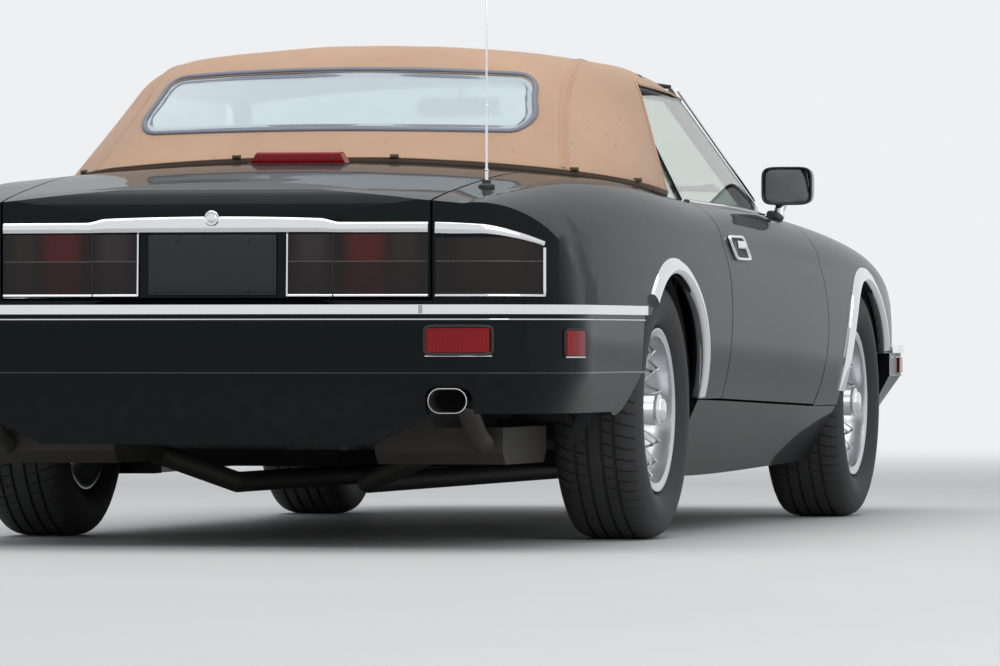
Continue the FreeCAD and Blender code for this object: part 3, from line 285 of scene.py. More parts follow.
@dataclass(frozen=True)
class Canvas(Finish):
    """Woven hood cloth with specks of dirt and soft stains."""

    thread: float = 0.0012

    def make(self) -> Any:
        """Material: crossed threads as sine waves, a cloudy tone, scattered dark specks."""
        shop, place = self.start()
        x, y, z = shop.axes(place)
        turn = FULL_TURN / self.thread
        warp = ((x + z * 0.7) * turn).sine()
        weft = ((y - z * 0.7) * turn).sine()
        weave = warp * weft * 0.5 + 0.5
        stains = shop.noise(place, 3.2, 5.0, 0.6)
        drift = shop.noise(place, 14.0, 3.0)
        specks = (1 - shop.cells(place, 30.0).step(0.05, 0.17)) * shop.noise(place, 9.0).step(0.5, 0.66)
        low = 1 - z.step(0.88, 0.98)
        base = shop.mix(stains, self.tone(0.8), self.tone(1.14))
        base = shop.mix(drift * 0.3, base, (0.47, 0.25, 0.13))
        base = shop.mix((1 - weave) * 0.22, base, (0.3, 0.17, 0.1))
        base = shop.mix(low * 0.22, base, (0.3, 0.19, 0.12))
        base = shop.mix(specks * 0.55, base, (0.12, 0.075, 0.05))
        others = {"Specular IOR Level": 0.2, "Sheen Weight": 0.22, "Sheen Roughness": 0.5}
        others["Normal"] = shop.bump(weave + drift * 1.5, 0.35, 0.0006)
        return shop.principled(base, drift * 0.12 + 0.8, others)


@dataclass(frozen=True)
class Hide(Finish):
    """Grained leather, darker in its creases."""

    def make(self) -> Any:
        """Material: small cells as grain, worn paler patches."""
        shop, place = self.start()
        grain = shop.cells(place, 420.0)
        wear = shop.noise(place, 5.0, 4.0)
        base = shop.mix(wear, self.tone(0.82), self.tone(1.16))
        base = shop.mix(grain.step(0.35, 0.7) * 0.3, base, self.tone(0.5))
        return shop.principled(base, wear * 0.15 + self.roughness, {"Normal": shop.bump(grain, 0.5, 0.0006)})


@dataclass(frozen=True)
class Rubber(Finish):
    """Tyre and seal rubber, greyed by dust."""

    def make(self) -> Any:
        """Material: black with a grey bloom in patches and a fine grain."""
        shop, place = self.start()
        bloom = shop.noise(place, 11.0, 5.0, 0.65)
        grain = shop.noise(place, 320.0, 3.0)
        base = shop.mix(bloom * 0.5, self.colour, self.tone(2.6, 0.008))
        return shop.principled(base, bloom * 0.15 + self.roughness, {"Normal": shop.bump(grain, 0.4, 0.0004)})


@dataclass(frozen=True)
class Glass(Finish):
    """Clear or tinted window glass."""

    clear: float = 1.0

    def make(self) -> Any:
        """Material: transmission with a faint uneven film of dust."""
        shop, place = self.start()
        film = shop.noise(place, 24.0, 4.0)
        base = shop.mix(film * 0.2, self.colour, self.tone(0.9))
        others = {"Transmission Weight": self.clear, "IOR": 1.12, "Specular IOR Level": 0.5}
        coat = {"Coat Weight": 1.0, "Coat Roughness": 0.01, "Coat IOR": 1.4}
        return shop.principled(base, film * 0.03 + self.roughness, {**others, **coat})


@dataclass(frozen=True)
class LampCover(Finish):
    """A lamp cover with pressed prisms behind a smooth face."""

    pitch: float = 0.006
    bands: tuple[tuple[float, float, Colour], ...] = ()
    split: float = 0.69

    def make(self) -> Any:
        """Material: bars of prisms as sine waves in height, and coloured fields set by the side distance.

        A field is dimmer below the split, the height at which the cover is divided.
        """
        shop, place = self.start()
        x, _, z = shop.axes(place)
        bars = (z * (FULL_TURN / self.pitch)).sine() * 0.5 + 0.5
        uprights = (x * (FULL_TURN / (self.pitch * 1.5))).sine() * 0.5 + 0.5
        base = shop.mix(bars * uprights * 0.6, self.colour, self.tone(0.45))
        upper = z.step(self.split - 0.002, self.split + 0.002) * 0.7 + 0.3
        for low, high, glow in self.bands:
            base = shop.mix(abs(x).band(low, high, 0.022) * (bars * 0.3 + 0.6) * upper, base, glow)
        others = {"Specular IOR Level": 0.12, "Normal": shop.bump(bars, 0.12, 0.0004)}
        coat = {"Coat Weight": 0.6, "Coat Roughness": 0.015, "Coat IOR": 1.32}
        return shop.principled(base, uprights * 0.1 + self.roughness, {**others, **coat})


@dataclass(frozen=True)
class FadingFloor(Finish):
    """A pale floor that turns into the backdrop far from the object."""

    backdrop: Colour = (0.86, 0.87, 0.88)
    near: float = 4.5
    far: float = 16.0

    def make(self) -> Any:
        """Material: the floor close by, and far off the backdrop's own light for a camera or mirror."""
        shop, place = self.start()
        base = shop.mix(shop.noise(place, 0.8, 3.0), self.tone(0.95), self.tone(1.05))
        solid = shop.node("BsdfPrincipled", {}, {"Base Color": base, "Roughness": self.roughness})
        light = shop.node("Emission", {}, {"Color": self.backdrop, "Strength": 1.0})
        away = shop.node("VectorMath", {"operation": "LENGTH"}, {0: place}, "Value")
        fade = away.step(self.near, self.far) * shop.looked_at()
        return shop.ended(shop.node("MixShader", {}, {0: fade, 1: solid, 2: light}))


@dataclass(frozen=True)
class Wood(Finish):
    """Polished burr veneer."""

    def make(self) -> Any:
        """Material: twisted noise as figure under a clear coat."""
        shop, place = self.start()
        figure = (shop.noise(place, 26.0, 6.0, 0.7) * 22.0).sine() * 0.5 + 0.5
        base = shop.mix(figure, self.colour, self.tone(0.35))
        return shop.principled(base, figure * 0.1 + 0.3, {"Coat Weight": 1.0})


# What shows through the smoked covers, by distance from the middle: the reversing lamp, the red lamp, the indicator
SMOKED_FIELDS = (
    (0.212, 0.282, (0.04, 0.036, 0.038)),
    (0.335, 0.425, (0.1, 0.009, 0.011)),
    (0.445, 0.505, (0.03, 0.022, 0.02)),
    (0.6, 0.76, (0.024, 0.015, 0.012)),
)

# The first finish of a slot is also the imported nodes' finish for it
FINISHES = (
    Paint("green_black_paint", "paint", (0.0022, 0.0052, 0.0058), 0.34),
    Bright("chrome", "chrome", (0.82, 0.83, 0.85), 0.03),
    Canvas("tan_canvas", "cloth", (0.6, 0.395, 0.265)),
    Canvas("tan_binding", "cloth", (0.56, 0.36, 0.235), thread=0.002),
    Hide("tan_leather", "leather", (0.46, 0.31, 0.19), 0.42),
    Hide("black_leather", "leather", (0.02, 0.019, 0.018), 0.45),
    Rubber("tyre_rubber", "tyre_rubber", (0.018, 0.018, 0.019), 0.62),
    Finish("black_plastic", "black_plastic", (0.012, 0.012, 0.013), 0.42, 0.0, 520.0, 0.0004),
    Rubber("seal_rubber", "black_plastic", (0.008, 0.008, 0.009), 0.5),
    Rubber("grey_rubber", "black_plastic", (0.11, 0.12, 0.15), 0.42),
    Rubber("brown_binding", "cloth", (0.05, 0.032, 0.02), 0.6),
    Finish("stud_brown", "black_plastic", (0.085, 0.055, 0.03), 0.4, 0.3),
    Finish("wheel_silver", "wheel_silver", (0.6, 0.61, 0.63), 0.2, 0.9),
    Finish("underbody_black", "underbody", (0.016, 0.015, 0.014), 0.75, 0.0, 90.0, 0.001),
    Finish("cast_iron", "iron", (0.09, 0.085, 0.08), 0.6, 0.6, 260.0, 0.0006),
    Finish("cast_alloy", "alloy", (0.42, 0.42, 0.42), 0.45, 0.8, 260.0, 0.0004),
    Finish("pipe_steel", "steel", (0.055, 0.05, 0.046), 0.6, 0.4, 120.0, 0.0003),
    Finish("plate_slate", "black_plastic", (0.006, 0.009, 0.013), 0.5),
    Finish("mirror_face", "chrome", (0.2, 0.21, 0.22), 0.03, 1.0),
    Glass("window_glass", "clear_glass", (0.72, 0.8, 0.74), 0.01),
    Glass("rear_pane", "clear_glass", (0.62, 0.72, 0.77), 0.05, clear=0.5),
    Glass("lamp_glass", "lamp_glass", (0.9, 0.92, 0.94), 0.01),
    LampCover("smoked_cover", "smoked_lamp", (0.01, 0.006, 0.0055), 0.1, bands=SMOKED_FIELDS),
    LampCover("red_cover", "red_lamp", (0.26, 0.002, 0.004), 0.15),
    Wood("burr_walnut", "black_plastic", (0.2, 0.075, 0.025)),
    Finish("lamp_edge", "smoked_lamp", (0.12, 0.11, 0.1), 0.2),
    # A paint lighter than the body's for the crease beads: a painted highlight along each bumper crease
    Finish("crease_highlight_paint", "paint", (0.012, 0.018, 0.02), 0.15),
    Finish("soot", "steel", (0.006, 0.006, 0.006), 0.9),
    Finish("gloss_black", "black_plastic", (0.008, 0.008, 0.009), 0.12),
    Finish("glass_edge", "black_plastic", (0.03, 0.05, 0.045), 0.15),
    Rubber("dark_piping", "leather", (0.09, 0.05, 0.03), 0.5),
    Finish("brown_carpet", "cloth", (0.1, 0.07, 0.05), 0.9, 0.0, 900.0, 0.002),
)

SLOT_FINISH = {finish.slot: finish.name for finish in reversed(FINISHES)}


def unit(vectors: np.ndarray) -> np.ndarray:
    """Each vector divided by its own length."""
    return vectors / np.maximum(np.linalg.norm(vectors, axis=-1, keepdims=True), 1e-12)


def rows(*columns: Any) -> np.ndarray:
    """Numbers side by side as rows. A single number fills its column."""
    return np.stack(np.broadcast_arrays(*columns), -1)


def whole_turn(steps: int) -> np.ndarray:
    """Angles spread evenly over a full turn."""
    return np.linspace(0, FULL_TURN, steps, endpoint=False)


def arc(start: Sequence[float], mid: Sequence[float], end: Sequence[float], count: int) -> np.ndarray:
    """Points along the circular arc through three points of the plane.

    The centre is where the two chords' bisectors meet; the angle then runs evenly from start to end past mid.

    Args:
        start: The arc's first point.
        mid: A point on it.
        end: Its last point.
        count: How many points to give.

    Returns:
        An array of count rows of two.
    """
    a, b, c = (np.array(p, float) for p in (start, mid, end))
    chords = np.array([b - a, c - a])
    centre = np.linalg.solve(2 * chords, [b @ b - a @ a, c @ c - a @ a])
    first, middle, last = (math.atan2(*(p - centre)[::-1]) for p in (a, b, c))
    span, part = (last - first) % FULL_TURN, (middle - first) % FULL_TURN
    if part > span:
        span -= FULL_TURN
    angle = first + span * np.linspace(0, 1, count)
    return centre + np.hypot(*(a - centre)) * rows(np.cos(angle), np.sin(angle))


def even(points: np.ndarray, count: int) -> np.ndarray:
    """The same line with points at even distances, straight between the given ones."""
    points = np.asarray(points, float)
    run = np.concatenate([[0], np.cumsum(np.linalg.norm(np.diff(points, axis=0), axis=1))])
    wanted = np.linspace(0, run[-1], count)
    return rows(*(np.interp(wanted, run, column) for column in points.T))


def flowing(points: Sequence[Sequence[float]], count: int) -> np.ndarray:
    """A smooth line through the given points: cubics whose slope at a point joins its two neighbours."""
    p = np.asarray(points, float)
    p = np.vstack([2 * p[0] - p[1], p, 2 * p[-1] - p[-2]])
    t = np.linspace(0, len(p) - 3 - 1e-9, 40 * (len(p) - 3))
    k, f = t.astype(int), (t % 1)[:, None]
    a, b, c, d = p[k], p[k + 1], p[k + 2], p[k + 3]
    line = 0.5 * (2 * b + (c - a) * f + (2 * a - 5 * b + 4 * c - d) * f**2 + (3 * b - a - 3 * c + d) * f**3)
    return even(line, count)


def oval(width: float, height: float, power: float = 2.0, count: int = 16) -> np.ndarray:
    """A closed profile: cosine and sine, each raised to two over power. Two is an ellipse, more is squarer."""
    c, s = np.cos(whole_turn(count)), np.sin(whole_turn(count))
    shape = rows(np.sign(c) * abs(c) ** (2 / power), np.sign(s) * abs(s) ** (2 / power))
    return shape * [width / 2, height / 2]


@dataclass
class Surface:
    """Points and four-cornered faces. Surfaces add up, move, mirror and stand up."""

    points: np.ndarray
    faces: np.ndarray

    def __add__(self, other: Surface) -> Surface:
        """Both surfaces as one."""
        shift = len(self.points)
        return Surface(np.vstack([self.points, other.points]), np.vstack([self.faces, other.faces + shift]))

    def moved(self, offset: Sequence[float]) -> Surface:
        """The surface shifted by offset."""
        return Surface(self.points + np.asarray(offset, float), self.faces)

    def mirrored(self) -> Surface:
        """The surface on the car's other side."""
        return Surface(self.points * [-1, 1, 1], self.faces[:, ::-1])

    def both(self) -> Surface:
        """The surface and its mirror image."""
        return self + self.mirrored()

    def stood(self, way: Way, place: Sequence[float]) -> Surface:
        """A shape that was turned about X, with its axis pointing another way, at a place."""
        order, signs = way.value
        faces = self.faces[:, ::-1] if way is Way.BACK else self.faces
        return Surface(self.points[:, order] * signs, faces).moved(place)

    @staticmethod
    def grid(points: np.ndarray, wrap_rows: bool = False, wrap_columns: bool = False) -> Surface:
        """A surface through a table of points.

        Args:
            points: An array of rows, columns and three.
            wrap_rows: Whether the last row joins the first.
            wrap_columns: Whether the last column joins the first.

        Returns:
            The surface with one face for each cell of the table.
        """
        index = np.arange(points.shape[0] * points.shape[1]).reshape(points.shape[:2])
        if wrap_rows:
            index = np.vstack([index, index[:1]])
        if wrap_columns:
            index = np.hstack([index, index[:, :1]])
        corners = (index[:-1, :-1], index[:-1, 1:], index[1:, 1:], index[1:, :-1])
        return Surface(points.reshape(-1, 3), np.stack([c.ravel() for c in corners], 1))

    @staticmethod
    def rings(tables: Sequence[np.ndarray]) -> Surface:
        """A surface through rings of points."""
        return Surface.grid(np.stack(tables), wrap_columns=True)

    @staticmethod
    def capped(table: np.ndarray) -> Surface:
        """A surface through rings, closed at both ends by a point in the middle of the last ring."""
        middles = np.broadcast_to(table.mean(1, keepdims=True), table.shape)
        return Surface.rings([middles[0], *table, middles[-1]])


def joined(surfaces: Iterable[Surface]) -> Surface:
    """Several surfaces as one."""
    surfaces = list(surfaces)
    shifts = np.cumsum([0] + [len(s.points) for s in surfaces[:-1]])
    faces = np.vstack([s.faces + shift for s, shift in zip(surfaces, shifts)])
    return Surface(np.vstack([s.points for s in surfaces]), faces)


def sweep(
    path: np.ndarray, profile: np.ndarray, out: np.ndarray, closed: bool = False, scale: np.ndarray | None = None
) -> Surface:
    """Carries a closed profile along a path.

    A profile point (a, b) lands at the path's point plus a times the side direction plus b times the outward one.
    The side direction is the path's own direction crossed with out. An open sweep is capped at both ends.

    Args:
        path: Rows of three, the line that the profile follows.
        profile: Rows of two.
        out: One outward direction, or one for each point of the path.
        closed: Whether the path joins up.
        scale: The profile's size at each point of the path.

    Returns:
        The swept surface.
    """
    path = np.asarray(path, float)
    tangent = unit(np.roll(path, -1, 0) - np.roll(path, 1, 0) if closed else np.gradient(path, axis=0))
    side = unit(np.cross(tangent, np.broadcast_to(np.asarray(out, float), path.shape)))
    outward = np.cross(side, tangent)
    size = np.ones(len(path)) if scale is None else scale
    a = profile[None, :, 0, None] * size[:, None, None]
    b = profile[None, :, 1, None] * size[:, None, None]
    points = path[:, None] + side[:, None] * a + outward[:, None] * b
    return Surface.grid(points, True, True) if closed else Surface.capped(points)


def strip(
    laid: Laid, rise: float, shape: Sequence[float], closed: bool = False, scale: np.ndarray | None = None
) -> Surface:
    """An oval swept along points laid on the car, raised by rise along the outward directions there."""
    line, out = laid
    return sweep(line + out * rise, oval(*shape), out, closed, scale)


def tube(path: Any, radius: float, sides: int = 10) -> Surface:
    """A round bar of one radius along a path."""
    return sweep(path, oval(2 * radius, 2 * radius, 2.0, sides), (0.12, 0.2, 1))


def turned(profile: Sequence[Sequence[float]], steps: int) -> Surface:
    """Turns a closed profile of rows (along X, radius) round the X axis."""
    along, radius = np.array(profile, float).T
    angle = whole_turn(steps)[:, None]
    return Surface.grid(rows(along, radius * np.sin(angle), radius * np.cos(angle)), True, True)


def block(low: Sequence[float], high: Sequence[float], radius: float, steps: int = 8) -> Surface:
    """A box with rounded edges and corners.

    A grid on each side of a cube is pulled to the box's inner core, and pushed out from it by the radius.

    Args:
        low: The lowest corner.
        high: The highest corner.
        radius: The rounding of its edges.
        steps: Grid cells along each edge.

    Returns:
        The closed surface.
    """
    low, high = np.array(low, float), np.array(high, float)
    half, centre = (high - low) / 2, (high + low) / 2
    radius = min(radius, *(half * 0.999))
    line = np.linspace(-1, 1, steps + 1)
    line = np.sign(line) * abs(line) ** 0.6
    u, v = np.meshgrid(line, line, indexing="ij")
    sides = []
    for axis in range(3):
        for sign in (1, -1):
            cube = np.roll(rows(sign, u, v), axis, -1)
            core = np.clip(cube * half, -(half - radius), half - radius)
            sides.append(Surface.grid(centre + core + radius * unit(cube * half - core)))
    return joined(sides)


def placed(name: str, data: Any) -> Any:
    """A new object in the scene."""
    thing = bpy.data.objects.new(name, data)
    bpy.context.scene.collection.objects.link(thing)
    return thing


def corners_of(mesh: Any) -> np.ndarray:
    """A mesh's points as rows of three."""
    flat = np.empty(3 * len(mesh.vertices))
    mesh.vertices.foreach_get("co", flat)
    return flat.reshape(-1, 3)


def applied(thing: Any) -> None:
    """Applies an object's modifiers to its mesh."""
    bpy.context.view_layer.update()
    mesh = bpy.data.meshes.new_from_object(thing.evaluated_get(bpy.context.evaluated_depsgraph_get()))
    thing.modifiers.clear()
    thing.data = mesh


def cleaned(mesh: Any, near: float, outwards: bool) -> None:
    """Merges a mesh's doubles and, for a new shape, turns its faces outwards.

    Args:
        mesh: The mesh, which is changed.
        near: Points closer than this become one.
        outwards: Whether the faces are turned.
    """
    work = bmesh.new()
    work.from_mesh(mesh)
    bmesh.ops.remove_doubles(work, verts=work.verts, dist=near)
    if outwards:
        bmesh.ops.dissolve_degenerate(work, edges=work.edges, dist=1e-7)
        bmesh.ops.recalc_face_normals(work, faces=work.faces)
    work.to_mesh(mesh)
    work.free()


class Bench:
    """Turns surfaces into finished pieces that ride on the car's bodies."""

    def __init__(self, frame: dict[str, Any]) -> None:
        """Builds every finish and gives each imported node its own.
        """
        self.nodes = frame["nodes"]
        self.finishes = {finish.name: (finish.make(), finish.slot) for finish in FINISHES}
        self.slots = {part["node"]: part["material_slot"] for part in frame["record"]["subparts"]}
        for name in self.nodes:
            self.refinish(name, SLOT_FINISH[self.slots[name]])

    def refinish(self, node: str, finish: str) -> None:
        """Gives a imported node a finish."""
        materials = self.nodes[node].data.materials
        materials.clear()
        materials.append(self.finishes[finish][0])

    def thing(self, name: str, surface: Surface) -> Any:
        """A mesh object with its doubles merged and its faces turned outwards."""
        mesh = bpy.data.meshes.new(name)
        mesh.from_pydata(surface.points.tolist(), [], surface.faces.tolist())
        cleaned(mesh, 1e-6, True)
        return placed(name, mesh)

    def eased(self, node: str, name: str, bend: Callable[[np.ndarray], np.ndarray]) -> Any:
        """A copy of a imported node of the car's body whose points are moved a little. It stands for the node.

        Args:
            node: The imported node.
            name: The new piece's name.
            bend: Gives the moved points for the node's own.

        Returns:
            The new object.
        """
        mesh = self.nodes[node].data.copy()
        mesh.name = name
        cleaned(mesh, 1e-5, False)
        if "custom_normal" in mesh.attributes:
            mesh.attributes.remove(mesh.attributes["custom_normal"])
        mesh.vertices.foreach_set("co", bend(corners_of(mesh)).ravel())
        mesh.update()
        return self.mount(placed(name, mesh), SLOT_FINISH[self.slots[node]], "car", (node,), 28)

    def mount(
        self, thing: Any, finish: str, body: str = "car", replaces: Any = (), crease: float = 35.0, slot: str = ""
    ) -> Any:
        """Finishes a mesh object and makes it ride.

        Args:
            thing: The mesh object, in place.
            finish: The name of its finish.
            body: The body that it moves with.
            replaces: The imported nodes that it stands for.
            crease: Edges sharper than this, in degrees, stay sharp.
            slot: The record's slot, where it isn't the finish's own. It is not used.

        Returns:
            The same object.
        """
        material, own_slot = self.finishes[finish]
        thing.data.shade_smooth()
        thing.data.set_sharp_from_angle(angle=math.radians(crease))
        thing.data.materials.clear()
        thing.data.materials.append(material)
        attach(thing, body)
        if replaces:
            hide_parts(*replaces)
        slot or own_slot
        LOG.info("%s: %d faces on %s", thing.name, len(thing.data.polygons), body)
        return thing


class Skin:
    """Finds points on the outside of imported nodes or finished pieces."""

    def __init__(self, things: Iterable[Any]) -> None:
        """Gathers the faces of several objects into one search tree.

        Args:
            things: Mesh objects whose place is in their mesh.
        """
        points: list[Any] = []
        faces: list[Any] = []
        for thing in things:
            shift = len(points)
            points.extend(v.co.copy() for v in thing.data.vertices)
            faces.extend([shift + k for k in p.vertices] for p in thing.data.polygons)
        self.tree = BVHTree.FromPolygons(points, faces)

    def hit(self, starts: np.ndarray, heading: Any) -> Laid:
        """Where rays from the starts first meet the skin.

        Args:
            starts: Rows of three, or one point.
            heading: One direction for all the rays, or one for each.

        Returns:
            The points and the skin's outward directions there. A ray that misses keeps its neighbour's answer.
        """
        starts = np.atleast_2d(starts)
        headings = np.broadcast_to(np.asarray(heading, float), starts.shape)
        found = [self.tree.ray_cast(Vector(s), Vector(h)) for s, h in zip(starts, headings)]
        known = [k for k, f in enumerate(found) if f[0] is not None]
        if not known:
            raise ValueError("no ray meets the skin")
        nearest = [min(known, key=lambda j: abs(j - k)) for k in range(len(found))]
        points = np.array([found[k][0] for k in nearest], float)
        normals = np.array([found[k][1] for k in nearest], float)
        facing = np.sign(-(normals * headings).sum(1, keepdims=True))
        return points, normals * np.where(facing == 0, 1, facing)

    def side(self, y: Any, z: Any) -> Laid:
        """Points on the left side at the given lengths and heights."""
        return self.hit(rows(1.3, y, z), (-1, 0, 0))

    def above(self, x: Any, y: Any) -> Laid:
        """Points met from above."""
        return self.hit(rows(x, y, 1.8), (0, 0, -1))

    def around(self, centre: Pair, angles: np.ndarray, heights: np.ndarray) -> Laid:
        """Points met from outside by lines that run in towards an upright axis through centre."""
        heading = rows(np.cos(angles), np.sin(angles), 0.0)
        return self.hit(rows(*centre, heights) + heading * 1.2, -heading)

    def behind(self, x: Any, z: Any, end: int = 1) -> Laid:
        """Points met from behind the car, or with end -1 from ahead of it."""
        return self.hit(rows(x, 2.8 * end, z), (0, -end, 0))


@dataclass
class Assembly:
    """A group of pieces made on one bench."""

    bench: Bench

    def piece(self, name: str, surface: Surface, finish: str = "chrome", *where: Any, **how: Any) -> Any:
        """Makes a piece and mounts it, bright if no finish is named. The rest is what the bench's mount takes."""
        return self.bench.mount(self.bench.thing(name, surface), finish, *where, **how)

    def outside(self, *names: str) -> Skin:
        """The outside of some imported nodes."""
        return Skin(self.bench.nodes[name] for name in names)


@dataclass
class Hood(Assembly):
    """The raised fabric hood: one stretched sheet with its seams, bindings, studs and rear window."""

    outlines: tuple[tuple[float, ...], ...] = (
        (0.84, 0.76, 0.806, 0.9, 0.735, 1.2, 0.56, 1.4, 1.455),
        (0.96, 0.702, 0.752, 0.78, 0.672, 1.07, 0.53, 1.25, 1.31),
        (1.08, 0.65, 0.7, 0.66, 0.622, 0.915, 0.5, 1.09, 1.155),
        (1.18, 0.604, 0.654, 0.56, 0.585, 0.79, 0.47, 0.95, 1.024),
        (1.3, 0.5, 0.56, 0.42, 0.52, 0.62, 0.43, 0.79, 0.868),
    )
    crown: tuple[Point, ...] = (
        (-0.33, 1.108, 1.206), (-0.15, 1.142, 1.24), (0.15, 1.182, 1.273), (0.55, 1.2, 1.278),
        (0.85, 1.186, 1.262), (1.1, 1.15, 1.226), (1.45, 1.1, 1.176),
    )
    heart: Point = (0.0, 0.45, 0.8)
    columns: int = 264
    steps: int = 84
    cloth: float = 0.004
    shoulder: float = 0.05
    seam: tuple[Point, ...] = (
        (0.455, -0.1, 1.2), (0.47, 0.2, 1.24), (0.5, 0.48, 1.245), (0.525, 0.72, 1.205), (0.545, 0.91, 1.134),
        (0.57, 1.05, 1.03), (0.592, 1.17, 0.93),
    )
    flat: Pair = (2.3, 1.9)
    area: float = 2.05

    def reach(self, angles: np.ndarray, levels: np.ndarray) -> np.ndarray:
        """How far the hood's plan outline lies from the heart.

        Each outline is a straight flank, an arc round the corner and an arc across the rear. Its sizes run straight
        between the given heights, averaged over a few centimetres so that no crease shows.

        Args:
            angles: Directions in the plan, from the car's left towards its tail.
            levels: Heights.

        Returns:
            A table with a row for each level and a column for each angle.
        """
        given = np.array(self.outlines)
        spread = levels[:, None] + np.linspace(-0.035, 0.035, 9)
        sizes = np.stack([np.interp(spread, given[:, 0], given[:, k]).mean(1) for k in range(1, 9)], 1)
        table = np.empty((len(levels), len(angles)))
        for k, (ahead, behind, start, mx, my, rx, ry, rear) in enumerate(sizes):
            flank = np.array([(0.0, -0.33), (ahead * 0.5, -0.33), (ahead, -0.33), (behind, start)])
            corner = arc((behind, start), (mx, my), (rx, ry), 24)
            across = arc((rx, ry), (0, rear), (-rx, ry), 41)[:21]
            line = even(np.vstack([flank, corner, across]), 400) - self.heart[:2]
            turn = np.arctan2(line[:, 1], line[:, 0])
            folded = np.arctan2(np.sin(angles), abs(np.cos(angles)))
            table[k] = np.interp(folded, turn, np.hypot(*line.T))
        return table

    def roof(self, x: np.ndarray, y: np.ndarray) -> np.ndarray:
        """Height of the roof: highest in the middle, falling with the square of x, sagging between the bows."""
        given = np.array(self.crown)
        spread = y[..., None] + np.linspace(-0.09, 0.09, 7)
        side, middle = (np.interp(spread, given[:, 0], given[:, k]).mean(-1) for k in (1, 2))
        sag = np.zeros_like(y)
        for start, end, drop in ((-0.18, 0.06, 0.002), (0.06, 0.33, 0.003), (0.33, 0.86, 0.004)):
            inside = (y > start) & (y < end)
            sag += np.where(inside, drop * np.sin(np.pi * (y - start) / (end - start)) ** 2, 0)
        return middle - (middle - side) * (x / 0.7) ** 2 - sag

    def dome(self) -> np.ndarray:
        """The sheet as a table of points, from its lower edge up to the middle of the roof.

        A ray leaves the heart for each direction and each elevation. It ends where the larger of two amounts is
        nought: how far it is outside the plan outline, and how far above the roof. The two are blended over a few
        centimetres, which rounds the shoulder. Halving the interval thirty times finds the end.
        """
        angles = whole_turn(self.columns)
        levels = np.linspace(0.78, 1.36, 59)
        table = self.reach(angles, levels)
        column = np.arange(self.columns)

        def spot(away: np.ndarray) -> Laid:
            """The places in the plan that are so far from the heart."""
            return away * np.cos(angles), self.heart[1] + away * np.sin(angles)

        def outline(height: np.ndarray) -> np.ndarray:
            """The table read at the given heights, straight between its rows."""
            at = np.clip((height - levels[0]) / (levels[1] - levels[0]), 0, len(levels) - 1.001)
            low = at.astype(int)
            return table[low, column] * (1 - at + low) + table[low + 1, column] * (at - low)

        names = ("rear_deck", "rear_wings", "door_left", "door_right", "scuttle", "front_wings", "bonnet")
        body = self.outside(*names)
        edge = np.full(self.columns, 0.88)
        for _ in range(4):
            edge = np.clip(body.above(*spot(outline(edge) - 0.003))[0][:, 2] + 0.002, 0.845, 0.95)
        lowest = np.arctan2(edge - self.heart[2], outline(edge))
        share = np.linspace(0, 1, self.steps)[:, None] ** 1.25
        rise = lowest + (math.pi / 2 - lowest) * share
        near, far = np.full(rise.shape, 0.2), np.full(rise.shape, 1.5)
        for _ in range(30):
            half = (near + far) / 2
            flat, z = half * np.cos(rise), self.heart[2] + half * np.sin(rise)
            wall, top = flat - outline(z), z - self.roof(*spot(flat))
            blend = np.maximum(self.shoulder - abs(wall - top), 0) ** 2 / (4 * self.shoulder)
            outside = np.maximum(wall, top) + blend > 0
            far, near = np.where(outside, half, far), np.where(outside, near, half)
        fold = np.sin(angles * 7 + rise * 9) * np.sin(angles * 3 - rise * 5) * np.sin(2 * rise) ** 2
        half = near + 0.0014 * fold
        return rows(*spot(half * np.cos(rise)), self.heart[2] + half * np.sin(rise))

    @staticmethod
    def grown(line: np.ndarray, along: np.ndarray, grow: float) -> np.ndarray:
        """A flat line moved sideways by grow, at right angles to its own directions."""
        along = unit(along)
        return line + rows(along[:, 1], -along[:, 0]) * grow

    def window_line(self, grow: float = 0.0) -> np.ndarray:
        """The rear window's outline seen from behind, as rows of x and z, moved outwards by grow."""
        low = arc((0, 1.0428), (0.24, 1.0406), (0.468, 1.036), 14)
        low_corner = arc((0.468, 1.036), (0.496, 1.047), (0.508, 1.076), 8)
        top_corner = arc((0.489, 1.126), (0.475, 1.161), (0.44, 1.176), 8)
        top = arc((0.44, 1.176), (0.22, 1.1865), (0, 1.19), 14)
        right = np.vstack([low, low_corner[1:], [(0.489, 1.126)], top_corner[1:], top[1:]])
        line = even(np.vstack([right, (right * [-1, 1])[::-1][1:]]), 161)[:-1]
        return self.grown(line, np.roll(line, -1, 0) - np.roll(line, 1, 0), grow)

    def opening(self, count: int = 90, grow: float = 0.0) -> np.ndarray:
        """The side opening's edge as rows of y and z, from the deck up its rear and forward along the rail."""
        rear = flowing([(0.775, 0.85), (0.768, 0.865), (0.7, 0.967), (0.64, 1.05), (0.582, 1.132)], 30)
        corner = arc((0.582, 1.132), (0.568, 1.162), (0.52, 1.17), 10)
        line = even(np.vstack([rear, corner, [(0.26, 1.167), (0.0, 1.162), (-0.1, 1.156), (-0.16, 1.15)]]), count)
        return self.grown(line, np.gradient(line, axis=0), grow)

    def prism(self, outline: np.ndarray, axis: int, low: float, high: float) -> Any:
        """A cutter: a flat outline carried along one axis between two places."""
        ends = [np.insert(outline, axis, place, 1) for place in (low, high)]
        return self.bench.thing("cutter", Surface.capped(np.stack(ends)))

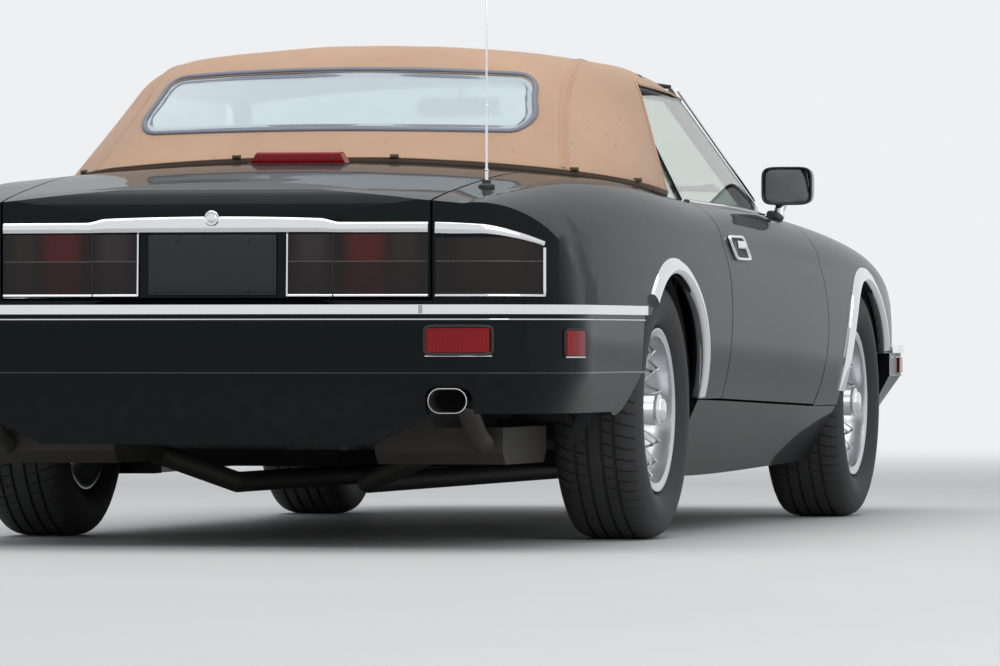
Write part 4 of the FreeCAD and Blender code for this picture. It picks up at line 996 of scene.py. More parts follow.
    def cut(self, sheet: Any) -> None:
        """Gives the sheet its wall, and takes the side openings, the rear window and the windscreen's edge out."""
        wall = sheet.modifiers.new("wall", "SOLIDIFY")
        wall.thickness, wall.offset = self.cloth, -1.0
        hole = np.vstack([self.opening(60), [(-0.7, 1.14), (-0.7, 0.7), (0.776, 0.7)]])
        ahead = np.array([(-0.5485, 1.4097), (0.0717, 1.0852), (-0.6, 0.8), (-0.95, 1.3)])
        cutters = [
            self.prism(hole, 0, -1.0, 1.0),
            self.prism(self.window_line(), 1, 0.7, 1.5),
            self.prism(ahead, 0, -0.95, 0.95),
        ]
        for cutter in cutters:
            step = sheet.modifiers.new("cut", "BOOLEAN")
            step.object, step.operation, step.solver = cutter, "DIFFERENCE", "EXACT"
        applied(sheet)
        for cutter in cutters:
            bpy.data.objects.remove(cutter)

    def on_dome(self, line: np.ndarray) -> Laid:
        """Points of a line carried straight out from the heart onto the sheet, and the outward directions there."""
        heart = np.array(self.heart)
        points, normals = self.skin.hit(np.broadcast_to(heart, line.shape), unit(line - heart))
        return points, -normals

    def side_edges(self) -> None:
        """The bindings and seals of the side openings."""
        line, out = self.skin.side(*self.opening().T)
        self.piece("hood_side_bindings", strip((line, out), 0.001, (0.011, 0.007, 2.0, 10)).both(), "tan_binding")
        inner = rows(line[:, 0] - 0.009, *self.opening(grow=-0.01).T)
        self.piece("hood_side_seals", sweep(inner, oval(0.02, 0.016, 3.0, 14), out).both(), "seal_rubber")

    def seams(self, edge: np.ndarray) -> None:
        """The sewn seams from header to deck, and the binding, bead and press studs along the rear edge."""
        seam = self.on_dome(flowing(self.seam, 90))
        ridge = strip(seam, 0.0012, (0.007, 0.0042, 2.4, 10))
        flank = strip(seam, 0.0004, (0.026, 0.0022, 4.0, 12))
        self.piece("hood_seams", (ridge + flank).both(), "tan_binding")
        rear = edge[edge[:, 1] > 0.772]
        line = even(rear[np.argsort(np.arctan2(rear[:, 0], rear[:, 1] - self.heart[1]))], 150)
        out = unit(unit(line - np.array(self.heart)) * [1, 1, 0])
        binding = sweep(line + out * 0.002 + [0, 0, 0.004], oval(0.014, 0.007, 3.0, 12), out)
        self.piece("hood_edge_binding", binding, "brown_binding")
        bead = sweep(line + out * 0.0045 + [0, 0, 0.0125], oval(0.004, 0.004, 2.0, 8), out)
        self.piece("hood_edge_bead", bead, "tan_binding")
        studs = []
        for x, y in ((0.215, 1.43), (0.598, 1.17), (0.7, 0.99)):
            for sign in (1, -1):
                near = line[np.argmin(np.hypot(*(line[:, :2] - [sign * x, y]).T))]
                away = unit((near - np.array(self.heart)) * [1, 1, 0])
                across = np.cross(away, [0, 0, 1])
                base = near + away * 0.006 + [0, 0, 0.016]
                plate = even([base - across * 0.011, base + across * 0.011], 8)
                studs.append(sweep(plate, oval(0.011, 0.008, 3.0, 12), away))
                studs.append(sweep(even([base, base + away * 0.008], 5), oval(0.006, 0.006, 2, 10), (0, 0, 1)))
        self.piece("hood_studs", joined(studs), "stud_brown")

    def window_frame(self) -> None:
        """The rear window's rubber and its inner lip."""
        line, out = self.skin.behind(*self.window_line(0.006).T)
        frame = strip((line, out), 0.001, (0.015, 0.009, 2.6, 12), True)
        self.piece("window_rubber", frame, "grey_rubber", crease=60)
        inner, _ = self.skin.behind(*self.window_line(-0.007).T)
        lip = sweep(inner - out * 0.0035, oval(0.016, 0.003, 3.0, 10), out, True)
        self.piece("window_rubber_lip", lip, "grey_rubber", crease=60)

    def build(self) -> None:
        """Makes the hood."""
        table = self.dome()
        sheet = self.bench.thing("hood_cloth", Surface.rings(table))
        self.skin = Skin([sheet])
        self.cut(sheet)
        self.bench.mount(sheet, "tan_canvas", replaces=("hood",), crease=50)
        self.seams(table[0])
        self.side_edges()
        self.window_frame()
        x = np.linspace(-0.6, 0.6, 41)
        drop = (x / 0.612) ** 2
        seal = sweep(rows(x, -0.188 + 0.086 * drop, 1.2285 - 0.048 * drop), oval(0.012, 0.012, 2.5, 10), (0, 0, 1))
        self.piece("hood_header_seal", seal, "seal_rubber")
        self.bench.refinish("rear_window", "rear_pane")


@dataclass
class Wheels(Assembly):
    """Laced wire wheels with their tyres."""

    front_track: float = 1.488
    rear_track: float = 1.504
    tyre_radius: float = 0.326
    grooves: tuple[float, ...] = (-0.05, -0.018, 0.018, 0.05)
    groove_half: float = 0.0035
    groove_depth: float = 0.007
    sipes: int = 66
    spokes: int = 18
    courses: tuple[tuple[float, ...], ...] = (
        (0.044, -0.02, 11, 0.178), (0.044, -0.004, -11, 0.175),
        (-0.014, 0.046, 11, 0.184), (-0.014, 0.06, -11, 0.184),
    )
    rim: Profile = (
        (-0.0925, 0.2065), (-0.0895, 0.2075), (-0.086, 0.2), (-0.082, 0.1905), (-0.06, 0.188), (-0.045, 0.176),
        (0.02, 0.176), (0.04, 0.188), (0.074, 0.188), (0.082, 0.1905), (0.086, 0.2), (0.0895, 0.2075),
        (0.0925, 0.2065), (0.0925, 0.199), (0.0885, 0.185), (0.074, 0.1825), (0.042, 0.1825), (0.022, 0.1705),
        (-0.047, 0.1705), (-0.062, 0.1825), (-0.0885, 0.185), (-0.0925, 0.199),
    )
    hub: Profile = (
        (-0.024, 0.0), (-0.024, 0.048), (-0.02, 0.052), (-0.008, 0.052), (-0.003, 0.043), (0.03, 0.037),
        (0.036, 0.043), (0.052, 0.045), (0.056, 0.041), (0.09, 0.039), (0.093, 0.036), (0.093, 0.0),
    )
    cap: Profile = (
        (0.086, 0.0), (0.086, 0.036), (0.09, 0.0405), (0.097, 0.0405), (0.101, 0.037), (0.103, 0.031),
        (0.106, 0.03), (0.11, 0.026), (0.112, 0.019), (0.1125, 0.0),
    )

    def tyre(self) -> Surface:
        """The tyre round its own middle.

        The profile runs from bead to bead as rounded walls and a flat tread. The radius drops in the four grooves
        and in narrow cuts across the outer ribs. The cuts lean: their angle grows with the distance from the middle.
        """
        wall = flowing([(0.0815, 0.2085), (0.1, 0.223), (0.1125, 0.25), (0.1128, 0.276), (0.106, 0.299)], 18)
        ring = flowing([(0.106, 0.299), (0.0985, 0.3105), (0.088, 0.3185), (0.072, 0.3243)], 8)[1:]
        half = self.groove_half
        edges = [0.0, 0.034, 0.064]
        for middle in self.grooves[2:]:
            edges += [middle - half - 0.001, middle - half, middle + half, middle + half + 0.001]
        across = np.array(sorted(edges))
        tread = rows(across, self.tyre_radius - 0.0015 * (across / 0.072) ** 4)
        half_line = np.vstack([tread, ring[::-1], wall[::-1][1:], [(0.0815, 0.1905)]])
        profile = np.vstack([(half_line * [-1, 1])[::-1], half_line[1:]])
        x = profile[:, 0]
        in_groove = (abs(x[:, None] - self.grooves) < half + 0.0002).any(1)
        on_tread = (abs(x) < 0.1) & (profile[:, 1] > 0.309)
        radius = profile[:, 1] - self.groove_depth * (in_groove & on_tread)
        ribs = np.where(on_tread & ~in_groove & (abs(x) > 0.022), 0.0048, 0.0)
        parts = np.array([0.0, 0.05, 0.14, 0.19, 0.6])
        angle = ((np.arange(self.sipes)[:, None] + parts) / self.sipes).ravel() * FULL_TURN
        depth = np.tile([0.0, 1.0, 1.0, 0.0, 0.0], self.sipes)
        radius = radius[None] - depth[:, None] * ribs[None]
        lean = angle[:, None] + np.sign(x) * np.maximum(abs(x) - 0.02, 0)[None] * 0.9
        return Surface.grid(rows(x, radius * np.sin(lean), radius * np.cos(lean)), True, True)

    @staticmethod
    def bars(starts: np.ndarray, ends: np.ndarray, radii: Pair, sides: int = 7) -> Surface:
        """Many straight round bars at once.

        Each bar has rings at its two ends. A ring's points lie round the bar's own direction, on two directions
        across it, and each end closes to a point.

        Args:
            starts: Where the bars begin.
            ends: Where they end.
            radii: The radius at the start and at the end.
            sides: How many sides a ring has.

        Returns:
            All the bars as one surface.
        """
        along = unit(ends - starts)
        first = unit(np.cross(along, [1, 0.13, 0.07]))
        second = np.cross(along, first)
        turn = whole_turn(sides)
        ring = first[:, None] * np.cos(turn)[None, :, None] + second[:, None] * np.sin(turn)[None, :, None]
        rings = [starts[:, None] + ring * size for size in (0.0, radii[0])]
        rings += [ends[:, None] + ring * size for size in (radii[1], 0.0)]
        table = np.stack(rings, 1)
        single = Surface.rings(table[0]).faces
        shift = (np.arange(len(starts)) * 4 * sides)[:, None, None]
        return Surface(table.reshape(-1, 3), (single[None] + shift).reshape(-1, 4))

    def lacing(self) -> Surface:
        """Four courses of crossed spokes from the hub to the rim's well, with nipples at their outer ends."""
        starts, ends = [], []
        for course, (hub_x, rim_x, lace, far) in enumerate(self.courses):
            a = (np.arange(self.spokes) + course / 4) * FULL_TURN / self.spokes
            b = a + math.radians(lace)
            starts.append(rows(hub_x, 0.042 * np.sin(a), 0.042 * np.cos(a)))
            ends.append(rows(rim_x, far * np.sin(b), far * np.cos(b)))
        start, end = np.vstack(starts), np.vstack(ends)
        back = end + unit(start - end) * 0.014
        return self.bars(start, end, (0.0023, 0.0021)) + self.bars(back, end, (0.0028, 0.0042))

    def build(self) -> None:
        """Makes the four wheels."""
        valve = self.bars(np.array([[0.05, 0.0, 0.184]]), np.array([[0.082, 0.0, 0.172]]), (0.004, 0.003), 10)
        kinds = (
            ("tyre_%s_tread", self.tyre(), "tyre_rubber", "tyre_", 28),
            ("rim_%s", turned(self.rim, 96) + turned(self.hub, 48), "wheel_silver", "wheel_", 50),
            ("spokes_%s", self.lacing(), "wheel_silver", "", 60),
            ("hub_cap_%s", turned(self.cap, 48) + valve, "chrome", "", 40),
        )
        for end, track, (y, z) in (("front", self.front_track, FRONT_AXLE), ("rear", self.rear_track, REAR_AXLE)):
            for side, sign in SIDES:
                where = "%s_%s" % (end, side)
                for name, shape, finish, node, crease in kinds:
                    surface = (shape if sign > 0 else shape.mirrored()).moved((sign * track / 2, y, z))
                    replaced = (node + where,) if node else ()
                    self.piece(name % where, surface, finish, "wheel_" + where, replaced, crease)


def rounder(points: np.ndarray, start: float, length: float, inner: Pair = (0.6, 0.75)) -> np.ndarray:
    """Points with the car's corner drawn in, so that its round starts in line with the flank.

    The shift inwards is t (1 - t) cubed times the corner's length and its slope, where t runs along the corner.

    Args:
        points: Rows of x, y and z.
        start: Where the corner starts, in metres from the middle of the car's length.
        length: How far the corner runs along the car.
        inner: From the first distance off the car's middle to the second, the shift grows from none to full.

    Returns:
        The moved points.
    """
    share = np.clip((abs(points[:, 1]) - start) / length, 0, 1)
    outer = np.clip((abs(points[:, 0]) - inner[0]) / (inner[1] - inner[0]), 0, 1)
    moved = points.copy()
    moved[:, 0] -= np.sign(points[:, 0]) * outer * 0.194 * length * share * (1 - share) ** 3
    return moved


@dataclass
class Tail(Assembly):
    """Everything on the tail: lamp frames, the bright finisher, the plate and the high brake lamp."""

    lamp_low: float = 0.611
    lamp_top: float = 0.756
    lamp_split: float = 0.69
    corner: Pair = (0.45, 2.0)

    def across(self, low: float, high: float, height: float) -> Laid:
        """Points across a part of the tail at one height, and the outward directions there."""
        return self.skin.behind(np.linspace(low, high, 30), height)

    def upright(self, x: float, low: float, width: float, rise: float) -> Surface:
        """A narrow upright strip on the tail, up to the top of the lamps."""
        return strip(self.skin.behind(x, np.linspace(low, self.lamp_top, 12)), rise, (width, 0.006, 3.0, 10))

    def lid_frames(self) -> None:
        """The bright line under the lamps, the uprights between them and the line across them."""
        low = self.lamp_low - 0.004
        ends = ((0.187, 0.2985), (0.3015, 0.53))
        lines = [strip(self.across(start, end, low), 0.006, (0.009, 0.008, 2.4, 12)) for start, end in ends]
        inner = self.upright(0.1865, low, 0.005, 0.007)
        self.piece("lid_lamp_frames", (joined(lines) + inner).both(), "chrome", "boot_lid")
        dark = self.upright(0.3003, self.lamp_low, 0.0035, 0.0055)
        dark = dark + self.upright(0.5285, self.lamp_low, 0.003, 0.0055)
        self.piece("lid_lamp_seals", dark.both(), "seal_rubber", "boot_lid")
        split = strip(self.across(0.19, 0.527, self.lamp_split), 0.0062, (0.0022, 0.0016, 2.0, 8))
        self.piece("lid_lamp_splits", split.both(), "lamp_edge", "boot_lid")

    def steady(self, angles: np.ndarray, heights: Any) -> Laid:
        """Points round the corner, with the rays that fall into a seam put back in line with their neighbours.

        A distance from the upright axis that is far from the middle one of nine gives way to it; then five are
        averaged.
        """
        points, _ = self.wing.around(self.corner, angles, heights)
        reach = np.hypot(*(points[:, :2] - self.corner).T)
        padded = np.pad(reach, 4, "edge")
        middle = np.median([padded[k : k + len(reach)] for k in range(9)], 0)
        reach = np.where(abs(reach - middle) > 0.004, middle, reach)
        padded = np.pad(reach, 2, "reflect", reflect_type="odd")
        reach = np.stack([padded[k : k + len(reach)] for k in range(5)]).mean(0)
        way = rows(np.cos(angles), np.sin(angles))
        line = rows(*(way * reach[:, None] + self.corner).T, heights)
        out = unit(np.cross(unit(np.gradient(line, axis=0)), [0.0, 0.0, 1.0]))
        return line, out * np.sign((out[:, :2] * way).sum(1, keepdims=True))

    def wing_frames(self) -> None:
        """The bright frame round each wing lamp, the painted cheek outside it and the line across the lamp.

        A direction turns round a point inside the wing and meets the outside at the frame's height. The top strip
        starts as deep as the finisher and narrows to the outer corner, where the frame turns down.
        """
        angle = np.radians(np.linspace(67.6, 21.5, 40))
        share = np.linspace(0, 1, 40)
        tops = 0.7695 - 0.006 * share - 0.031 * np.clip((share - 0.45) / 0.55, 0, 1) ** 1.5
        top, top_out = self.steady(angle, tops)
        depth = 1 - 0.62 * np.clip((share - 0.15) / 0.8, 0, 1) ** 1.3
        bright = strip((top, top_out), 0.003, (0.029, 0.013, 3.2, 16), scale=depth)
        low, low_out = self.steady(angle, self.lamp_low - 0.003)
        edge = np.vstack([np.linspace(top[-1], low[-1], 14)[1:], low[::-1][1:]])
        edge_out = np.vstack([np.repeat(top_out[-1:], 13, 0), low_out[::-1][1:]])
        rim = strip((edge, edge_out), 0.003, (0.0085, 0.009, 2.5, 12))
        self.piece("wing_lamp_frames", (bright + rim).both())
        beyond = np.radians(np.linspace(21.6, 13.0, 12))
        lift = np.linspace(0.0009, -0.0004, 12)[:, None]
        laid = [self.steady(beyond, height) for height in np.linspace(0.607, 0.752, 12)]
        cheek = Surface.grid(np.stack([line + out * lift for line, out in laid]))
        self.piece("wing_lamp_cheeks", cheek.both(), "green_black_paint")
        split = strip(self.steady(angle, self.lamp_split), 0.0006, (0.0022, 0.0018, 2.0, 8))
        self.piece("wing_lamp_splits", split.both(), "lamp_edge")

    def finisher(self) -> None:
        """The bright strip over the lamps, deeper between them, with a plain boss and two small screws."""
        x = np.linspace(-0.53, 0.53, 161)
        step = np.clip((0.318 - abs(x)) / 0.05, 0, 1)
        step = step * step * (3 - 2 * step)
        top = 0.7845 + step * (0.0145 - 0.006 * (x / 0.3) ** 2)
        low = 0.7575
        middle, out = self.skin.behind(x, (top + low) / 2)
        profile = [(-0.5, -0.3), (-0.5, 0.5), (-0.42, 0.85), (-0.2, 0.95), (0.1, 1.0), (0.36, 0.8), (0.47, 0.5)]
        profile = np.array(profile + [(0.5, -0.3)])
        up = np.cross(out, [-1.0, 0.0, 0.0])
        rise = 0.0105 + 0.002 * step[:, None]
        points = middle[:, None] + up[:, None] * (profile[:, 0] * (top - low)[:, None])[:, :, None]
        points = points + out[:, None] * (profile[:, 1] * rise)[:, :, None]
        self.piece("finisher", Surface.capped(points), "chrome", "boot_lid", ("lid_trim",), 32)
        seat, _ = self.skin.behind(0.0, 0.794)
        profiles = (
            ((0.002, 0.0), (0.002, 0.019), (0.0145, 0.0185), (0.0165, 0.0165), (0.0155, 0.0145), (0.015, 0.0)),
            ((0.0145, 0.0), (0.0145, 0.0125), (0.017, 0.011), (0.0185, 0.0)),
        )
        boss = joined(turned(profile, 40).stood(Way.BACK, seat[0]) for profile in profiles)
        self.piece("finisher_boss", boss, "chrome", "boot_lid")
        head = turned(((0.008, 0.0), (0.008, 0.0035), (0.0118, 0.003), (0.0125, 0.0)), 16)
        places = (self.skin.behind(x, 0.7655)[0][0] for x in (0.302, -0.302))
        screws = joined(head.stood(Way.BACK, place) for place in places)
        self.piece("finisher_screws", screws, "wheel_silver", "boot_lid", slot="chrome")

    def plate(self) -> None:
        """The blank plate in its black surround, held by four plain bolts."""
        surround = block((-0.16, 2.2425, 0.609), (0.16, 2.2625, 0.755), 0.003, 6)
        self.piece("plate_surround", surround, "black_plastic", "boot_lid")
        face = block((-0.153, 2.2565, 0.6155), (0.153, 2.2638, 0.7485), 0.0012, 6)
        self.piece("number_plate", face, "plate_slate", "boot_lid")
        head = turned(((-0.003, 0.0), (-0.003, 0.0055), (0.0015, 0.005), (0.0028, 0.0)), 16)
        places = [(sx * 0.0889, 2.2645, 0.682 + sz * 0.0603) for sx in (1, -1) for sz in (1, -1)]
        bolts = joined(head.stood(Way.BACK, place) for place in places)
        self.piece("plate_bolts", bolts, "black_plastic", "boot_lid")

    def brake_lamp(self) -> None:
        """The high brake lamp: a red bar with slanted ends on a dark foot, with two small screws."""
        path = rows(np.linspace(-0.127, 0.127, 41), 1.4625, 0.9555)
        bar = sweep(path, oval(0.05, 0.036, 4.5, 20), (0, 0, 1))
        points = bar.points.copy()
        points[:, 0] *= 1 - 0.16 * np.clip((points[:, 2] - 0.9555) / 0.036 + 0.5, 0, 1)
        self.piece("brake_lamp_lens", Surface(points, bar.faces), "red_cover", "car", ("brake_lamp",))
        path[:, 2] = 0.9405
        foot = sweep(path * [1.01, 1, 1], oval(0.056, 0.011, 4.0, 16), (0, 0, 1))
        self.piece("brake_lamp_foot", foot, "seal_rubber")
        head = turned(((-0.002, 0.0), (-0.002, 0.0035), (0.001, 0.003), (0.0016, 0.0)), 14)
        self.piece("brake_lamp_screws", head.stood(Way.BACK, (0.095, 1.4872, 0.9545)).both(), "black_plastic")

    def build(self) -> None:
        """Makes the tail's pieces."""
        self.skin = self.outside("boot_lid", "tail_panel")
        wings = self.bench.eased(
            "rear_wings", "rear_wing_skins", lambda points: rounder(points, 1.94, 0.186, (0.79, 0.84))
        )
        self.wing = Skin([wings, self.bench.nodes["wing_lamps"]])
        self.lid_frames()
        self.wing_frames()
        self.finisher()
        self.plate()
        self.brake_lamp()
        outline = oval(0.074, 0.116, 7.0, 64) + [0.751, 1.24]
        bead = strip(self.outside("fuel_flap").above(*outline.T), 0.001, (0.0055, 0.005, 2.4, 10), True)
        self.piece("fuel_flap_bead", bead, "chrome", "fuel_flap")


@dataclass
class Bumpers(Assembly):
    """Bright blades, beads, lamp surrounds and tailpipe trims."""

    sizes: tuple[tuple[float, ...], ...] = (
        (1, 0.893, 0.889, 1.503, 0.5633, 0.423),
        (-1, 0.866, 0.85, 1.839, 0.4653, 0.4),
    )
    reach: float = 2.4
    blade_height: float = 0.0225
    corner: Pair = (2.01, 0.238)

    def plan(self, end: int, grow: float, height: float, count: int = 220) -> np.ndarray:
        """The bumper's outline seen from above, from one side round the end to the other."""
        _, near, side, start, _, _ = next(row for row in self.sizes if row[0] == end)
        near, side, reach = near + grow, side + grow, self.reach + grow
        flank = np.array([(near, start), (side, 2.01)])
        corner = arc((side, 2.01), (side - 0.056, reach - 0.152), (0.62, reach - 0.036), 30)
        face = arc((0.62, reach - 0.036), (0, reach), (-0.62, reach - 0.036), 60)
        line = np.vstack([flank, corner[1:], face[1:], (corner[::-1] * [-1, 1])[1:], (flank[::-1] * [-1, 1])[1:]])
        line = even(line, count)
        return rounder(rows(line[:, 0], line[:, 1] * end, height), *self.corner)

    def wrapped(self, end: int, grow: float, height: float, profile: np.ndarray) -> Surface:
        """A profile swept round a bumper. The profile's first number is upwards and its second outwards."""
        path = self.plan(end, grow, height)
        ahead = unit(np.gradient(path, axis=0))
        return sweep(path, profile, np.cross(ahead, [0, 0, -1.0 * end]))

    def trims(self) -> None:
        """The blades, their beads and joints, and the beads on the crease lines. The bright bead under each blade
        stands in for the highlight on the painted bumper's upper roll. The crease beads are small lips painted
        lighter than the body, a painted highlight along each crease.
        """
        blades, roll_highlight_beads, lips = [], [], []
        half = self.blade_height / 2
        shape = [(-1, -1), (-1, 0.1), (-0.9, 0.55), (-0.5, 0.9), (0.0, 1.0), (0.5, 0.86), (0.86, 0.4), (1.0, -0.2)]
        shape = np.array(shape + [(1.0, -1)]) * [half, 0.009]
        for end, _, _, _, low, crease in self.sizes:
            blades.append(self.wrapped(end, 0.001, low + half, shape))
            # a bright bead under the blade, standing in for the highlight on the painted bumper's upper roll
            roll_highlight_beads.append(self.wrapped(end, 0.001, low - 0.0125, oval(0.0038, 0.005, 2.0, 8)))
            # a small lip on the crease in a paint lighter than the body's: a painted highlight along the crease
            lips.append(self.wrapped(end, 0.0, crease, oval(0.005, 0.005, 2.0, 8)))
        self.piece("bright_blades", joined(blades), "chrome", "car", ("bumper_blades",), 40)
        self.piece("blade_highlight_beads", joined(roll_highlight_beads))
        self.piece("crease_highlight_beads", joined(lips), "crease_highlight_paint")
        joints = []
        for x in (0.547, -0.547):
            path = self.plan(1, 0.0085, 0.0, 900)
            near = path[np.argmin(np.hypot(*(path[:, :2] - [x, 2.37]).T))]
            line = near + rows(0, 0, np.linspace(0.5645, 0.5845, 8))
            joints.append(sweep(line, oval(0.012, 0.0045, 4.0, 10), (0, 1, 0)))
        self.piece("blade_joints", joined(joints), "cast_alloy", slot="chrome")

    def reflectors(self) -> None:
        """The frames and bright lips of the rear reflectors and the side markers."""
        frames, lips = [], []
        for sign in (1, -1):
            outline = oval(0.158, 0.068, 9.0, 72) + [sign * 0.634, 0.501]
            frames.append(strip(self.skin.behind(*outline.T), 0.0025, (0.0075, 0.009, 3.0, 10), True))
            low = self.skin.behind(np.linspace(0.556, 0.712, 24) * sign, 0.4635)
            lips.append(strip(low, 0.004, (0.003, 0.003, 2.0, 8)))
        self.piece("reflector_frames", joined(frames), "seal_rubber")
        outline = oval(0.084, 0.066, 8.0, 64) + [2.169, 0.494]
        ring = strip(self.skin.side(*outline.T), 0.002, (0.0055, 0.007, 3.0, 10), True)
        self.piece("side_marker_frames", ring.both(), "seal_rubber")
        low = self.skin.side(np.linspace(2.128, 2.21, 16), 0.4605)
        lips.append(strip(low, 0.004, (0.004, 0.005, 2.0, 8)).both())
        self.piece("reflector_lips", joined(lips))

    @staticmethod
    def tip_ring(radius: float, y: float, centre: Pair = (0.606, 0.357)) -> np.ndarray:
        """A ring of points: two half circles of a radius, 36 mm apart."""
        c, s = np.cos(whole_turn(56)), np.sin(whole_turn(56))
        return rows(centre[0] + 0.018 * np.sign(np.round(c, 9)) + radius * c, y, centre[1] + radius * s)

    def tailpipes(self, radius: float = 0.03, start: float = 2.19, end: float = 2.3525) -> None:
        """The bright tailpipe trims and the soot inside them.

        Args:
            radius: The radius of a trim's half circles.
            start: Where a trim starts along the car.
            end: Where it ends.
        """
        steps = (
            (0.0, start), (0.0, end - 0.004), (0.0006, end - 0.001), (0.0, end + 0.001), (-0.0015, end + 0.0014),
            (-0.0028, end - 0.001), (-0.0028, end - 0.09), (-0.028, end - 0.092),
        )
        tip = Surface.rings([self.tip_ring(radius + grow, y) for grow, y in steps])
        self.piece("tailpipe_trims", tip.both(), "chrome", crease=40)
        steps = ((0.0268, 2.347), (0.0268, 2.265), (0.0005, 2.2645))
        soot = Surface.rings([self.tip_ring(size, y) for size, y in steps])
        self.piece("tailpipe_soot", soot.both(), "soot")

    def build(self) -> None:
        """Makes the bumpers' pieces."""
        shells = (("rear_bumper", "rear_cover"), ("front_bumper", "front_cover"), ("bumper_lamps", "bumper_lenses"))
        self.skin = Skin(
            self.bench.eased(node, name, lambda points: rounder(points, *self.corner)) for node, name in shells
        )
        self.trims()
        self.reflectors()
        self.tailpipes()


@dataclass
class Arches(Assembly):
    """Broad rounded bright lips round the wheel openings."""

    centre_z: float = 0.3
    inner: float = 0.367
    outer: float = 0.41
    middle: float = 0.3835
    profile: Profile = (
        (1, 0.0), (1, 0.004), (0.93, 0.0085), (0.75, 0.0125), (0.5, 0.015), (0.28, 0.015), (0.12, 0.0125),
        (0.03, 0.008), (0, 0.002), (0.0, -0.016), (0.07, -0.016), (0.08, -0.002),
    )

    def lip(self, skin: Skin, axle: float, start: float, end: float) -> Surface:
        """One lip.

        It follows a circle round the axle. Across its width it rises from the panel, rolls over in a quarter round
        and turns in under the opening's edge.

        Args:
            skin: The wing's outside.
            axle: The axle's place along the car.
            start: Where the lip starts, in degrees from the tail's side.
            end: Where it ends.

        Returns:
            The lip on the car's left.
        """
        angle = np.radians(np.linspace(start, end, 110))
        c, s = np.cos(angle), np.sin(angle)
        base, _ = skin.side(axle + self.middle * c, self.centre_z + self.middle * s)
        far, _ = skin.side(axle + self.outer * c, self.centre_z + self.outer * s)
        lean = far[:, 0] - base[:, 0]
        across, rise = np.array(self.profile).T
        radius = self.inner + (self.outer - self.inner) * across
        share = (radius - self.middle) / (self.outer - self.middle)
        x = base[:, :1] + lean[:, None] * np.clip(share, 0, 1) + rise
        return Surface.capped(rows(x, axle + radius * c[:, None], self.centre_z + radius * s[:, None]))

    def build(self) -> None:
        """Makes the four lips."""
        rear = self.lip(self.outside("rear_wings"), REAR_AXLE[0], 50.5, 171.5)
        front = self.lip(self.outside("front_wings"), FRONT_AXLE[0], 8.5, 152.5)
        self.piece("arch_lip_trims", (rear + front).both(), "chrome", "car", ("arch_lips",), 34)


def pane_x(z: np.ndarray) -> np.ndarray:
    """How far the side windows are from the car's middle at a height."""
    return 0.757 - 0.415 * (z - 0.855)


PANE_OUT = unit([1.0, 0.0, 0.415])


